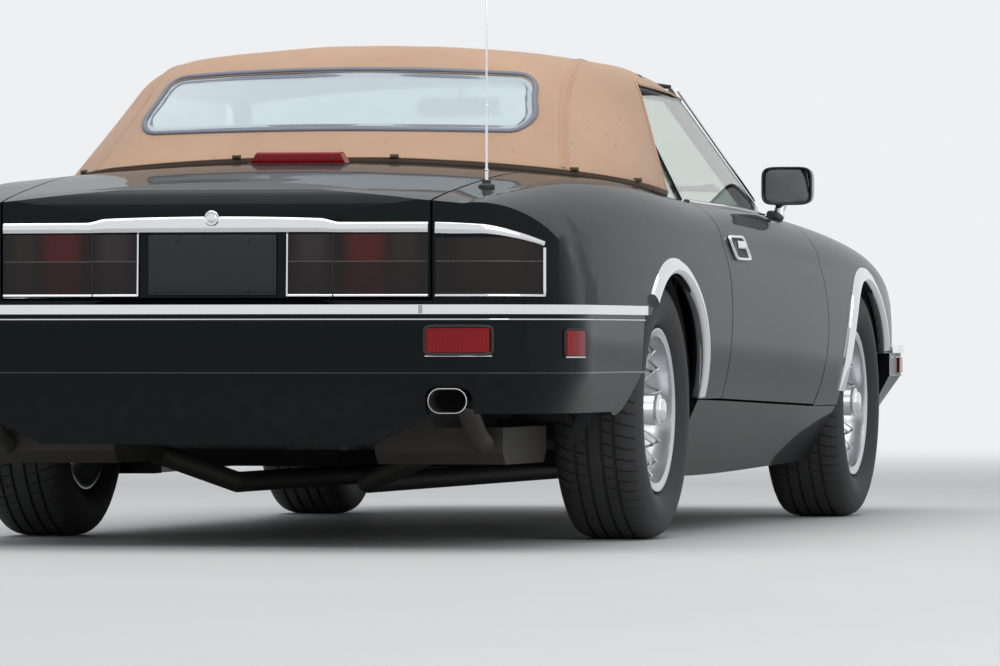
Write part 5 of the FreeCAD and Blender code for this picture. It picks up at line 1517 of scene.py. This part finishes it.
@dataclass
class Doors(Assembly):
    """Handles, mirrors, waist strips, window frames and inner panels of the two doors."""

    handle_place: Pair = (0.322, 0.7425)
    handle_slant: float = 0.95
    mirror_place: Pair = (0.826, 0.925)
    card_x: float = 0.741

    def handle(self) -> Parts:
        """A bright slanted frame round a dark recess, with a bright paddle and a push button area."""
        y, z = self.handle_place
        outline = oval(0.182, 0.058, 7.0, 72) + [y, z]
        outline[:, 0] += (outline[:, 1] - z) * self.handle_slant
        frame = strip(self.skin.side(*outline.T), 0.004, (0.0095, 0.0125, 2.6, 12), True)
        shrunk = (outline - outline.mean(0)) * [0.955, 0.86] + outline.mean(0)
        line, out = self.skin.side(*shrunk.T)
        middle, up = self.skin.side(y, z)
        rings = [line + out * 0.0035, line * 0.6 + middle * 0.4 + out * 0.001, line * 0 + middle + up * 0.001]
        recess = Surface.rings(rings)
        grip = self.skin.side(y + np.linspace(-0.066, 0.036, 26), z + 0.009)
        paddle = strip(grip, 0.0065, (0.0215, 0.01, 3.5, 16))
        button = strip(self.skin.side(y + np.linspace(0.043, 0.074, 12), z), 0.004, (0.031, 0.008, 5.0, 16))
        return [
            ("handle_frame", frame + paddle, "chrome"),
            ("handle_recess", recess, "seal_rubber"),
            ("handle_push", button, "black_plastic"),
        ]

    def mirror_rings(self, *sizes: tuple[float, float, float]) -> Surface:
        """A surface through rings of the mirror's outline, each a place along the car, a width and a height."""
        base, (x, z) = oval(0.138, 0.101, 5.5, 56), self.mirror_place
        return Surface.rings([rows(base[:, 0] * wide + x, y, base[:, 1] * high + z) for y, wide, high in sizes])

    def mirror(self) -> Parts:
        """The mirror: a rounded housing tapering forwards, its glass in a rim, and a stem on a black foot."""
        housing = self.mirror_rings(
            (-0.5675, 0.02, 0.02), (-0.5675, 0.93, 0.93), (-0.5605, 0.95, 0.95), (-0.56, 1.0, 1.0),
            (-0.566, 1.0, 1.0), (-0.6, 0.985, 0.985), (-0.625, 0.93, 0.9), (-0.643, 0.8, 0.72),
            (-0.65, 0.55, 0.45), (-0.652, 0.02, 0.02),
        )
        rim = self.mirror_rings((-0.5595, 0.985, 0.98)).points
        glass = self.mirror_rings(
            (-0.5645, 0.02, 0.02), (-0.5645, 0.6, 0.6), (-0.565, 0.885, 0.885), (-0.5665, 0.9, 0.9)
        )
        stem = flowing([(0.797, -0.594, 0.842), (0.799, -0.596, 0.862), (0.806, -0.6, 0.884)], 16)
        foot, out = self.skin.above(0.789, np.linspace(-0.642, -0.522, 24))
        size = 0.35 + 0.65 * np.sin(np.pi * np.linspace(0.06, 0.94, 24)) ** 0.6
        foot = sweep(foot + [0, 0, 0.007], oval(0.04, 0.024, 3.2, 18), out, scale=size)
        return [
            ("mirror_housing", housing, "gloss_black"),
            ("mirror_rim", sweep(rim, oval(0.0065, 0.006, 2.2, 10), (0, 1, 0), True), "gloss_black"),
            ("mirror_glass", glass, "mirror_face"),
            ("mirror_stem", sweep(stem, oval(0.024, 0.03, 3.0, 18), (1, 0, 0)), "chrome"),
            ("mirror_foot", foot, "seal_rubber"),
        ]

    def window_foot(self) -> Parts:
        """The bright strip and the wiping seal along the window's foot."""
        y = np.linspace(-0.505, 0.455, 70)
        bright, dark = (self.skin.above(x, y)[0] for x in (0.7725, 0.7645))
        return [
            ("waist_strip", sweep(bright + [0, 0, 0.0025], oval(0.01, 0.0085, 2.4, 12), (0.35, 0, 1)), "chrome"),
            ("waist_seal", sweep(dark + [0, 0, 0.003], oval(0.006, 0.01, 2.0, 10), (0, 0, 1)), "seal_rubber"),
        ]

    def glass_rim(self) -> Parts:
        """A thin dark edge round the drop glass, where its ground rim shows."""
        corner = arc((0.5245, 1.103), (0.509, 1.143), (0.453, 1.1545), 8)
        outline = np.vstack([[(0.436, 0.868)], corner, [(-0.05, 1.1445), (-0.0865, 1.129), (-0.5, 0.872)]])
        y, z = even(outline, 140).T
        rim = sweep(rows(pane_x(z) - 0.0025, y, z), oval(0.0075, 0.0062, 4.0, 8), PANE_OUT)
        return [("glass_rim", rim, "glass_edge")]

    def card(self) -> Parts:
        """The door's inner panel: a padded top roll, an armrest and a pull, on a leather field."""
        x = self.card_x
        panel = block((x - 0.01, -0.6, 0.4), (x + 0.0005, 0.425, 0.775), 0.004, 6)
        roll = sweep(rows(x - 0.006, np.linspace(-0.6, 0.425, 40), 0.792), oval(0.026, 0.034, 2.6, 18), (1, 0, 0))
        y = np.linspace(-0.36, 0.24, 30)
        rest = rows(x - 0.022, y, 0.585 + 0.02 * np.cos((y + 0.06) * 5.2))
        panel = panel + sweep(rest, oval(0.052, 0.044, 3.0, 18), (1, 0, 0))
        return [("door_card", panel, "tan_leather"), ("door_top_roll", roll, "black_leather")]

    def build(self) -> None:
        """Makes both doors' pieces."""
        self.skin = self.outside("door_left")
        pieces = self.handle() + self.mirror() + self.window_foot() + self.glass_rim() + self.card()
        for side, sign in SIDES:
            for name, surface, finish in pieces:
                shape = surface if sign > 0 else surface.mirrored()
                replaced = ("trim_" + side,) if name == "mirror_housing" else ()
                self.piece("%s_%s" % (name, side), shape, finish, "door_" + side, replaced)


@dataclass
class Screen(Assembly):
    """The windscreen's surround, the quarter windows' posts and seals, the wipers and the aerial's foot."""

    aerial_place: Pair = (-0.6, 1.942)

    def pillars(self) -> None:
        """A bright edge and a dark seal up each windscreen pillar."""
        low, high = np.array([0.695, -0.612, 0.868]), np.array([0.582, -0.128, 1.16])
        line = low + (high - low) * np.linspace(0.03, 1.02, 40)[:, None]
        out = unit([1.0, 0.25, 0.35])
        bright = sweep(line + [0.0375, 0.006, 0.01], oval(0.01, 0.006, 2.6, 10), out)
        self.piece("pillar_strips", bright.both())
        seal = sweep(line + [0.027, 0.04, -0.004], oval(0.04, 0.016, 3.0, 14), out)
        self.piece("pillar_seals", seal.both(), "seal_rubber")

    def quarter(self) -> None:
        """A dark post ahead of each quarter window with a thin bright line, and the strip under the hood's edge."""
        z = np.linspace(0.868, 1.118, 30)
        path = rows(pane_x(z) + 0.0015, 0.4585 + (z - 0.866) * (0.104 / 0.248), z)
        self.piece("quarter_posts", sweep(path, oval(0.012, 0.012, 4.0, 12), PANE_OUT).both(), "seal_rubber")
        line = sweep(path + PANE_OUT * 0.0062 + [0, 0.0035, 0], oval(0.0025, 0.0018, 2.0, 8), PANE_OUT)
        self.piece("quarter_post_lines", line.both())
        x = np.linspace(-0.575, 0.575, 61)
        bow = (x / 0.582) ** 2
        path = rows(x, -0.226 + 0.098 * bow - 0.012, 1.208 - 0.048 * bow + 0.014)
        self.piece("header_strip", sweep(path, oval(0.01, 0.007, 2.6, 10), (0, -0.35, 1)))

    def wiper_blades(self) -> None:
        """Two sprung blades on their arms, parked along the windscreen's foot."""
        blades = []
        for ends in ((0.16, -0.3), (-0.22, -0.6)):
            start, end = (rows(x, -0.842 + 0.18 * (x / 0.7) ** 2, 0.925 - 0.03 * (x / 0.7) ** 2) for x in ends)
            line = start + (end - start) * np.linspace(0, 1, 30)[:, None] + [0, -0.012, 0.016]
            blades.append(sweep(line, oval(0.007, 0.016, 3.0, 10), (0, -0.6, 0.8)))
        self.piece("wiper_blades", joined(blades), "seal_rubber")

    def aerial(self) -> None:
        """A dark ribbed foot and bright collars on the mast."""
        spot, _ = self.outside("rear_wings").above(*self.aerial_place)
        foot = ((-0.004, 0.0), (-0.004, 0.0205), (0.004, 0.02), (0.0075, 0.016), (0.0085, 0.0115), (0.016, 0.0105))
        foot = turned((*foot, (0.018, 0.0)), 36)
        self.piece("aerial_foot", foot.stood(Way.UP, spot[0]), "seal_rubber")
        collars = []
        for height, radius in ((0.9145, 0.0056), (1.0725, 0.0045), (1.4535, 0.0038)):
            ring = ((-0.003, 0.0), (-0.003, radius), (0.0, radius * 1.12), (0.0012, radius), (0.0014, 0.0))
            collars.append(turned(ring, 20).stood(Way.UP, (*self.aerial_place, height)))
        self.piece("aerial_collars", joined(collars))

    def build(self) -> None:
        """Makes the pieces round the windows."""
        self.pillars()
        self.quarter()
        self.wiper_blades()
        self.aerial()


@dataclass
class Nose(Assembly):
    """Headlamps, grille surround and number plate base at the front."""

    places: Profile = ((0.43, 0.602), (0.586, 0.602))
    rim: Profile = (
        (-0.01, 0.0585), (-0.01, 0.0665), (0.004, 0.0665), (0.0095, 0.064), (0.0105, 0.06), (0.007, 0.0575),
    )
    bowl: Profile = (
        (-0.034, 0.0), (-0.034, 0.012), (-0.026, 0.034), (-0.01, 0.05), (0.001, 0.0572), (0.001, 0.0592),
        (-0.036, 0.0592), (-0.036, 0.0),
    )
    lens: Profile = (
        (0.0105, 0.0), (0.0098, 0.02), (0.0078, 0.04), (0.0035, 0.0572), (0.0015, 0.0572), (0.0058, 0.04),
        (0.0078, 0.02), (0.0085, 0.0),
    )
    bulb: Profile = (
        (-0.033, 0.0), (-0.033, 0.007), (-0.012, 0.007), (-0.0075, 0.0045), (-0.0065, 0.0),
    )

    def build(self) -> None:
        """Makes the nose's pieces. Each round headlamp is a bowl, a domed lens, a bulb cap and a bright rim."""
        lamps = (
            ("rims", turned(self.rim, 56), "chrome", ()),
            ("bowls", turned(self.bowl, 48), "mirror_face", ("headlamps",)),
            ("lenses", turned(self.lens, 48), "lamp_glass", ()),
            ("bulbs", turned(self.bulb, 20), "chrome", ()),
        )
        for name, shape, finish, replaced in lamps:
            pair = joined(shape.stood(Way.AHEAD, (x, -2.322 + 0.03 * x, z)) for x, z in self.places)
            self.piece("headlamp_" + name, pair.both(), finish, "car", replaced)
        lines = [rows(np.linspace(-0.3, 0.3, 31), -2.3225, z) for z in np.arange(0.567, 0.635, 0.0085)]
        bars = joined(sweep(line, oval(0.0028, 0.008, 3.0, 8), (0, -1, 0)) for line in lines)
        self.piece("grille_bars", bars)
        self.piece("grille_back", block((-0.325, -2.298, 0.552), (0.325, -2.294, 0.646), 0.001, 4), "seal_rubber")
        self.piece("intake_back", block((-0.43, -2.322, 0.296), (0.43, -2.316, 0.392), 0.001, 4), "seal_rubber")
        base = block((-0.26, -2.424, 0.402), (0.26, -2.406, 0.462), 0.004, 5)
        self.piece("front_plate_base", base, "black_plastic")


@dataclass
class Seats(Assembly):
    """Leather seats whose pads are blown up as cloth, with piping and sewn channels."""

    middle: float = 0.37
    rear_middle: float = 0.35
    voxel: float = 0.009
    frames: int = 20
    pressure: float = 4.0

    def puff(self, name: str, surface: Surface, cap: float) -> Any:
        """Blows a pad up with the cloth simulation.

        The mesh is rebuilt in small even cells and simulated under pressure without gravity. No point moves further
        than the cap. The result is kept as a plain mesh and divided once.

        Args:
            name: The piece's name.
            surface: The pad's starting shape, a little smaller than the finished one.
            cap: The furthest that a point may move.

        Returns:
            The pad as a mesh object.
        """
        pad = self.bench.thing(name, surface)
        remesh = pad.modifiers.new("cells", "REMESH")
        remesh.mode, remesh.voxel_size = "VOXEL", self.voxel
        applied(pad)
        before = corners_of(pad.data)
        cloth = pad.modifiers.new("air", "CLOTH")
        settings = cloth.settings
        settings.use_pressure, settings.uniform_pressure_force = True, self.pressure
        settings.effector_weights.gravity, settings.quality = 0.0, 4
        cloth.point_cache.frame_start, cloth.point_cache.frame_end = 1, self.frames
        scene = bpy.context.scene
        for frame in range(1, self.frames + 1):
            scene.frame_set(frame)
        moved = corners_of(pad.evaluated_get(bpy.context.evaluated_depsgraph_get()).data) - before
        pad.modifiers.clear()
        scene.frame_set(1)
        far = np.linalg.norm(moved, axis=1, keepdims=True)
        result = before + moved * np.minimum(1, cap / np.maximum(far, 1e-9))
        pad.data.vertices.foreach_set("co", result.ravel())
        pad.data.update()
        finer = pad.modifiers.new("finer", "SUBSURF")
        finer.levels = finer.render_levels = 1
        applied(pad)
        return pad

    def bun(self, start: Point, end: Point, widths: Sequence[float], depths: Sequence[float]) -> Surface:
        """A pad's starting shape: a squarish oval carried from start to end, wider and deeper as the lists say."""
        start, end, share = np.array(start), np.array(end), np.linspace(0, 1, 25)
        line = start + (end - start) * share[:, None]
        wide, deep = (np.interp(share, np.linspace(0, 1, len(sizes)), sizes) for sizes in (widths, depths))
        profile = oval(2, 2, 3.4, 36)
        up = np.cross(unit(end - start), [-1.0, 0.0, 0.0])
        points = line[:, None] + profile[None, :, :1] * wide[:, None, None] / 2 * [1, 0, 0]
        points = points + profile[None, :, 1:] * deep[:, None, None] / 2 * up
        caps = points.mean(1, keepdims=True)
        first = [caps[:1] + (points[:1] - caps[:1]) * k for k in (0.0, 0.5)]
        last = [caps[-1:] + (points[-1:] - caps[-1:]) * k for k in (0.5, 0.0)]
        return Surface.rings(np.concatenate(first + [points] + last))

    def seams(self, pads: dict[str, Any]) -> Surface:
        """Sewn channels and piping laid on the finished pads."""
        lines = []
        cushion, back = Skin([pads["cushion"]]), Skin([pads["back"]])
        channel, piping = (0.0042, 0.0022, 2.0, 8), (0.006, 0.006, 2.0, 8)
        for step in (-0.15, -0.09, -0.03, 0.03, 0.09, 0.15):
            lines.append(strip(cushion.above(self.middle + step, np.linspace(-0.1, 0.315, 40)), 0.0002, channel))
            starts = rows(self.middle + step * 0.9, -0.4, np.linspace(0.5, 0.86, 40))
            lines.append(strip(back.hit(starts, (0, 1, 0)), 0.0002, channel))
        loop = oval(0.37, 0.455, 5.0, 90) + [self.middle, 0.108]
        lines.append(strip(cushion.above(*loop.T), 0.001, piping, True))
        x, z = (oval(0.335, 0.4, 5.0, 90) + [self.middle, 0.68]).T
        lines.append(strip(back.hit(rows(x, -0.4, z), (0, 1, 0)), 0.001, piping, True))
        return joined(lines)

    def build(self) -> None:
        """Makes the four seats."""
        x, rear = self.middle, self.rear_middle
        shapes = (
            ("cushion", (x, -0.148, 0.345), (x, 0.335, 0.325), (0.42, 0.46, 0.465, 0.45), (0.12, 0.13, 0.12), 0.014),
            ("back", (x, 0.395, 0.425), (x, 0.552, 0.925), (0.44, 0.45, 0.44, 0.37), (0.115, 0.105, 0.09), 0.014),
            ("headrest", (x, 0.588, 0.945), (x, 0.6, 1.035), (0.19, 0.215, 0.2), (0.045, 0.06, 0.05), 0.009),
            ("rear_cushion", (rear, 0.672, 0.495), (rear, 0.93, 0.475), (0.36, 0.375, 0.36), (0.07, 0.07), 0.01),
            ("rear_back", (rear, 0.938, 0.53), (rear, 0.968, 0.85), (0.36, 0.375, 0.35), (0.06, 0.055), 0.009),
        )
        pads = {}
        for name, start, end, widths, depths, cap in shapes:
            pad = self.puff("seat_%s_left" % name, self.bun(start, end, widths, depths), cap)
            pads[name] = pad
            mesh = pad.data.copy()
            mesh.vertices.foreach_set("co", (corners_of(mesh) * [-1, 1, 1]).ravel())
            mesh.flip_normals()
            self.bench.mount(pad, "tan_leather", "car", ("seats",) if name == "cushion" else (), 60)
            twin = self.bench.mount(placed("seat_%s_right" % name, mesh), "tan_leather", "car", (), 60)
        self.piece("seat_seams", self.seams(pads).both(), "dark_piping")
        base = block((x - 0.205, -0.12, 0.188), (x + 0.205, 0.33, 0.278), 0.012, 8)
        hinge = block((x + 0.222, 0.3, 0.29), (x + 0.242, 0.41, 0.46), 0.008, 6)
        self.piece("seat_bases", (base + hinge).both(), "black_plastic")
        stalks = joined(tube([(x + s, 0.575, 0.9), (x + s, 0.592, 0.965)], 0.0055) for s in (-0.05, 0.05))
        self.piece("headrest_stalks", stalks.both())


@dataclass
class Cabin(Assembly):
    """Fascia, instruments, steering wheel cover, console and mats."""

    dials: Profile = ((0.31, 0.043), (0.43, 0.043), (0.22, 0.026), (0.52, 0.026))

    def fascia(self) -> None:
        """A wood strip across the dashboard, with round dials without figures on the driver's side."""
        skin = self.outside("dashboard")
        lines = []
        for z in (0.695, 0.715, 0.735, 0.755, 0.77):
            line, _ = skin.hit(rows(np.linspace(-0.62, 0.62, 90), 0.4, z), (0, -1, 0))
            line[:, 1] = np.where(line[:, 1] > -0.475, -0.4985, line[:, 1])
            lines.append(line + [0, 0.003, 0])
        veneer = Surface.grid(np.stack([lines[0] - [0, 0.004, 0]] + lines + [lines[-1] - [0, 0.004, 0]]))
        self.piece("fascia_veneer", veneer, "burr_walnut")
        rims, faces = [], []
        for x, radius in self.dials:
            place = skin.hit((x, -0.4, 0.735), (0, -1, 0))[0][0] + [0, 0.004, 0]
            inside = radius - 0.005
            edge = ((-0.002, radius), (0.005, radius), (0.006, radius - 0.002), (0.004, inside), (-0.002, inside))
            rims.append(turned(edge, 40).stood(Way.BACK, place))
            wide = radius - 0.0045
            dial = turned(((-0.001, 0.0), (0.0015, 0.0), (0.0015, wide), (-0.001, wide)), 40)
            faces.append(dial.stood(Way.BACK, place))
            needle = block((-0.001, 0.0005, -0.0012), (0.001, radius * 0.75, 0.0012), 0.0008, 3)
            rims.append(needle.stood(Way.BACK, place + [0, 0.0022, 0]))
        self.piece("dial_rims", joined(rims))
        self.piece("dial_faces", joined(faces), "gloss_black")

    def steering(self) -> None:
        """A leather cover round the steering wheel's rim, with a plain padded boss and two stalks."""
        axis, up = unit([0.0, 0.92, 0.39]), unit([0.0, -0.39, 0.92])
        angle = whole_turn(120)[:, None]
        centre = np.array([0.37, -0.56, 0.66]) + np.array([0.0, 0.92, 0.39]) * 0.25
        circle = centre + 0.185 * (np.cos(angle) * [1, 0, 0] + np.sin(angle) * up)
        grip = 1 + 0.035 * np.cos(angle[:, 0] * 24)
        cover = sweep(circle, oval(0.0285, 0.0285, 2.0, 16), axis, True, grip)
        self.piece("wheel_cover", cover, "black_leather", crease=60)
        boss = turned(((0.012, 0.0), (0.012, 0.066), (0.022, 0.063), (0.027, 0.05), (0.03, 0.0)), 48)
        local = boss.points
        stood = centre + local[:, :1] * axis + local[:, 1:2] * [1, 0, 0] + local[:, 2:] * up
        self.piece("wheel_boss", Surface(stood, boss.faces[:, ::-1]), "black_leather")
        stalks = []
        for sign in (1, -1):
            root = centre - axis * 0.07 + [sign * 0.025, 0, 0]
            line = [root, root + [sign * 0.06, 0.004, 0.004], root + [sign * 0.125, 0.016, 0.006]]
            stalks.append(tube(flowing(line, 16), 0.005))
        self.piece("column_stalks", joined(stalks), "black_plastic")

    def console(self) -> None:
        """The gear selector on a wood plate, and a padded lid behind it."""
        self.piece("console_plate", block((-0.06, -0.3, 0.512), (0.06, -0.02, 0.5245), 0.004, 6), "burr_walnut")
        gaiter = turned(((0.0, 0.0), (0.0, 0.036), (0.012, 0.03), (0.022, 0.018), (0.028, 0.01), (0.028, 0.0)), 28)
        knob = turned(
            ((-0.03, 0.0), (-0.03, 0.012), (-0.012, 0.019), (0.008, 0.0215), (0.022, 0.016), (0.027, 0.0)), 28
        )
        selector = gaiter.stood(Way.UP, (0, -0.2, 0.522)) + knob.stood(Way.UP, (0, -0.186, 0.622))
        self.piece("selector", selector, "black_leather")
        self.piece("selector_rod", tube([(0, -0.2, 0.54), (0, -0.188, 0.6)], 0.0055, 12))
        self.piece("console_lid", block((-0.088, 0.0, 0.502), (0.088, 0.195, 0.535), 0.014, 8), "tan_leather")

    def build(self) -> None:
        """Makes the cabin's pieces."""
        self.fascia()
        self.steering()
        self.console()
        front = block((0.16, -0.66, 0.1828), (0.6, -0.2, 0.1925), 0.004, 8)
        rear = block((0.17, 0.4, 0.1828), (0.58, 0.63, 0.1925), 0.004, 8)
        self.piece("floor_mats", (front + rear).both(), "brown_carpet")
        mirror = block((-0.115, -0.172, 1.108), (0.115, -0.15, 1.16), 0.01, 8)
        stem = tube([(0, -0.168, 1.15), (0, -0.188, 1.192)], 0.007)
        self.piece("inside_mirror", mirror + stem, "black_plastic")
        face = block((-0.107, -0.1515, 1.114), (0.107, -0.1488, 1.154), 0.002, 6)
        self.piece("inside_mirror_face", face, "mirror_face")


@dataclass
class Studio:
    """The floor, the lamps and the camera."""

    photo_width: int = 1000
    focal_pixels: float = 7513.0
    eye: Point = (-4.993, 19.622, 0.496)
    look: Point = (0.2394, -0.9709, 0.00125)
    backdrop: Colour = (0.86, 0.87, 0.88)

    def camera(self) -> None:
        """Sets the camera where the photograph was taken from."""
        data = bpy.data.cameras.new("camera")
        data.sensor_width = 36.0
        data.lens = self.focal_pixels * data.sensor_width / self.photo_width
        data.clip_end = 200.0
        camera = placed("camera", data)
        camera.location = self.eye
        camera.rotation_euler = Vector(self.look).to_track_quat("-Z", "Y").to_euler()
        bpy.context.scene.camera = camera

    def floor(self) -> None:
        """A wide pale floor under the tyres, with a faint cast."""
        mesh = bpy.data.meshes.new("floor")
        mesh.from_pydata([(-60, -60, 0), (60, -60, 0), (60, 60, 0), (-60, 60, 0)], [], [(0, 1, 2, 3)])
        mesh.materials.append(FadingFloor("pale_floor", "", (0.6, 0.6, 0.59), 0.6, backdrop=self.backdrop).make())
        placed("floor", mesh)

    def lamp(self, name: str, place: Point, aim: Point, size: float, power: float) -> None:
        """A square soft lamp.

        Args:
            name: The lamp's name.
            place: Where it hangs.
            aim: The point it faces.
            size: The length of its side.
            power: Its output in watts.
        """
        data = bpy.data.lights.new(name, "AREA")
        data.size = size
        data.energy = power
        lamp = placed(name, data)
        lamp.location = place
        lamp.rotation_euler = (Vector(aim) - Vector(place)).to_track_quat("-Z", "Y").to_euler()

    def surround(self) -> None:
        """A world that lights evenly, and shows a pale backdrop to the camera, to mirrors and through glass."""
        shop = Workshop(bpy.data.worlds.new("surround"), "OutputWorld")
        lit = shop.node("Background", {}, {"Color": (0.8, 0.84, 0.9), "Strength": 0.5})
        seen = shop.node("Background", {}, {"Color": self.backdrop, "Strength": 1.0})
        mix = shop.node("MixShader", {}, {0: shop.looked_at(), 1: lit, 2: seen})
        bpy.context.scene.world = shop.ended(mix)

    def build(self) -> None:
        """Makes the whole studio."""
        self.camera()
        self.floor()
        self.lamp("overhead", (0, 1, 7), (0, 0, 0), 9.0, 420.0)
        self.lamp("rear_soft", (-6, 8, 4), (0, 1, 0.6), 5.0, 200.0)
        self.surround()
        bpy.context.scene.view_settings.view_transform = "Standard"


def main() -> None:
    """Builds the studio and dresses the car."""
    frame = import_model()
    Studio().build()
    bench = Bench(frame)
    for assembly in (Hood, Wheels, Tail, Bumpers, Arches, Doors, Screen, Nose, Seats, Cabin):
        assembly(bench).build()


if __name__ == "__main__":
    main()
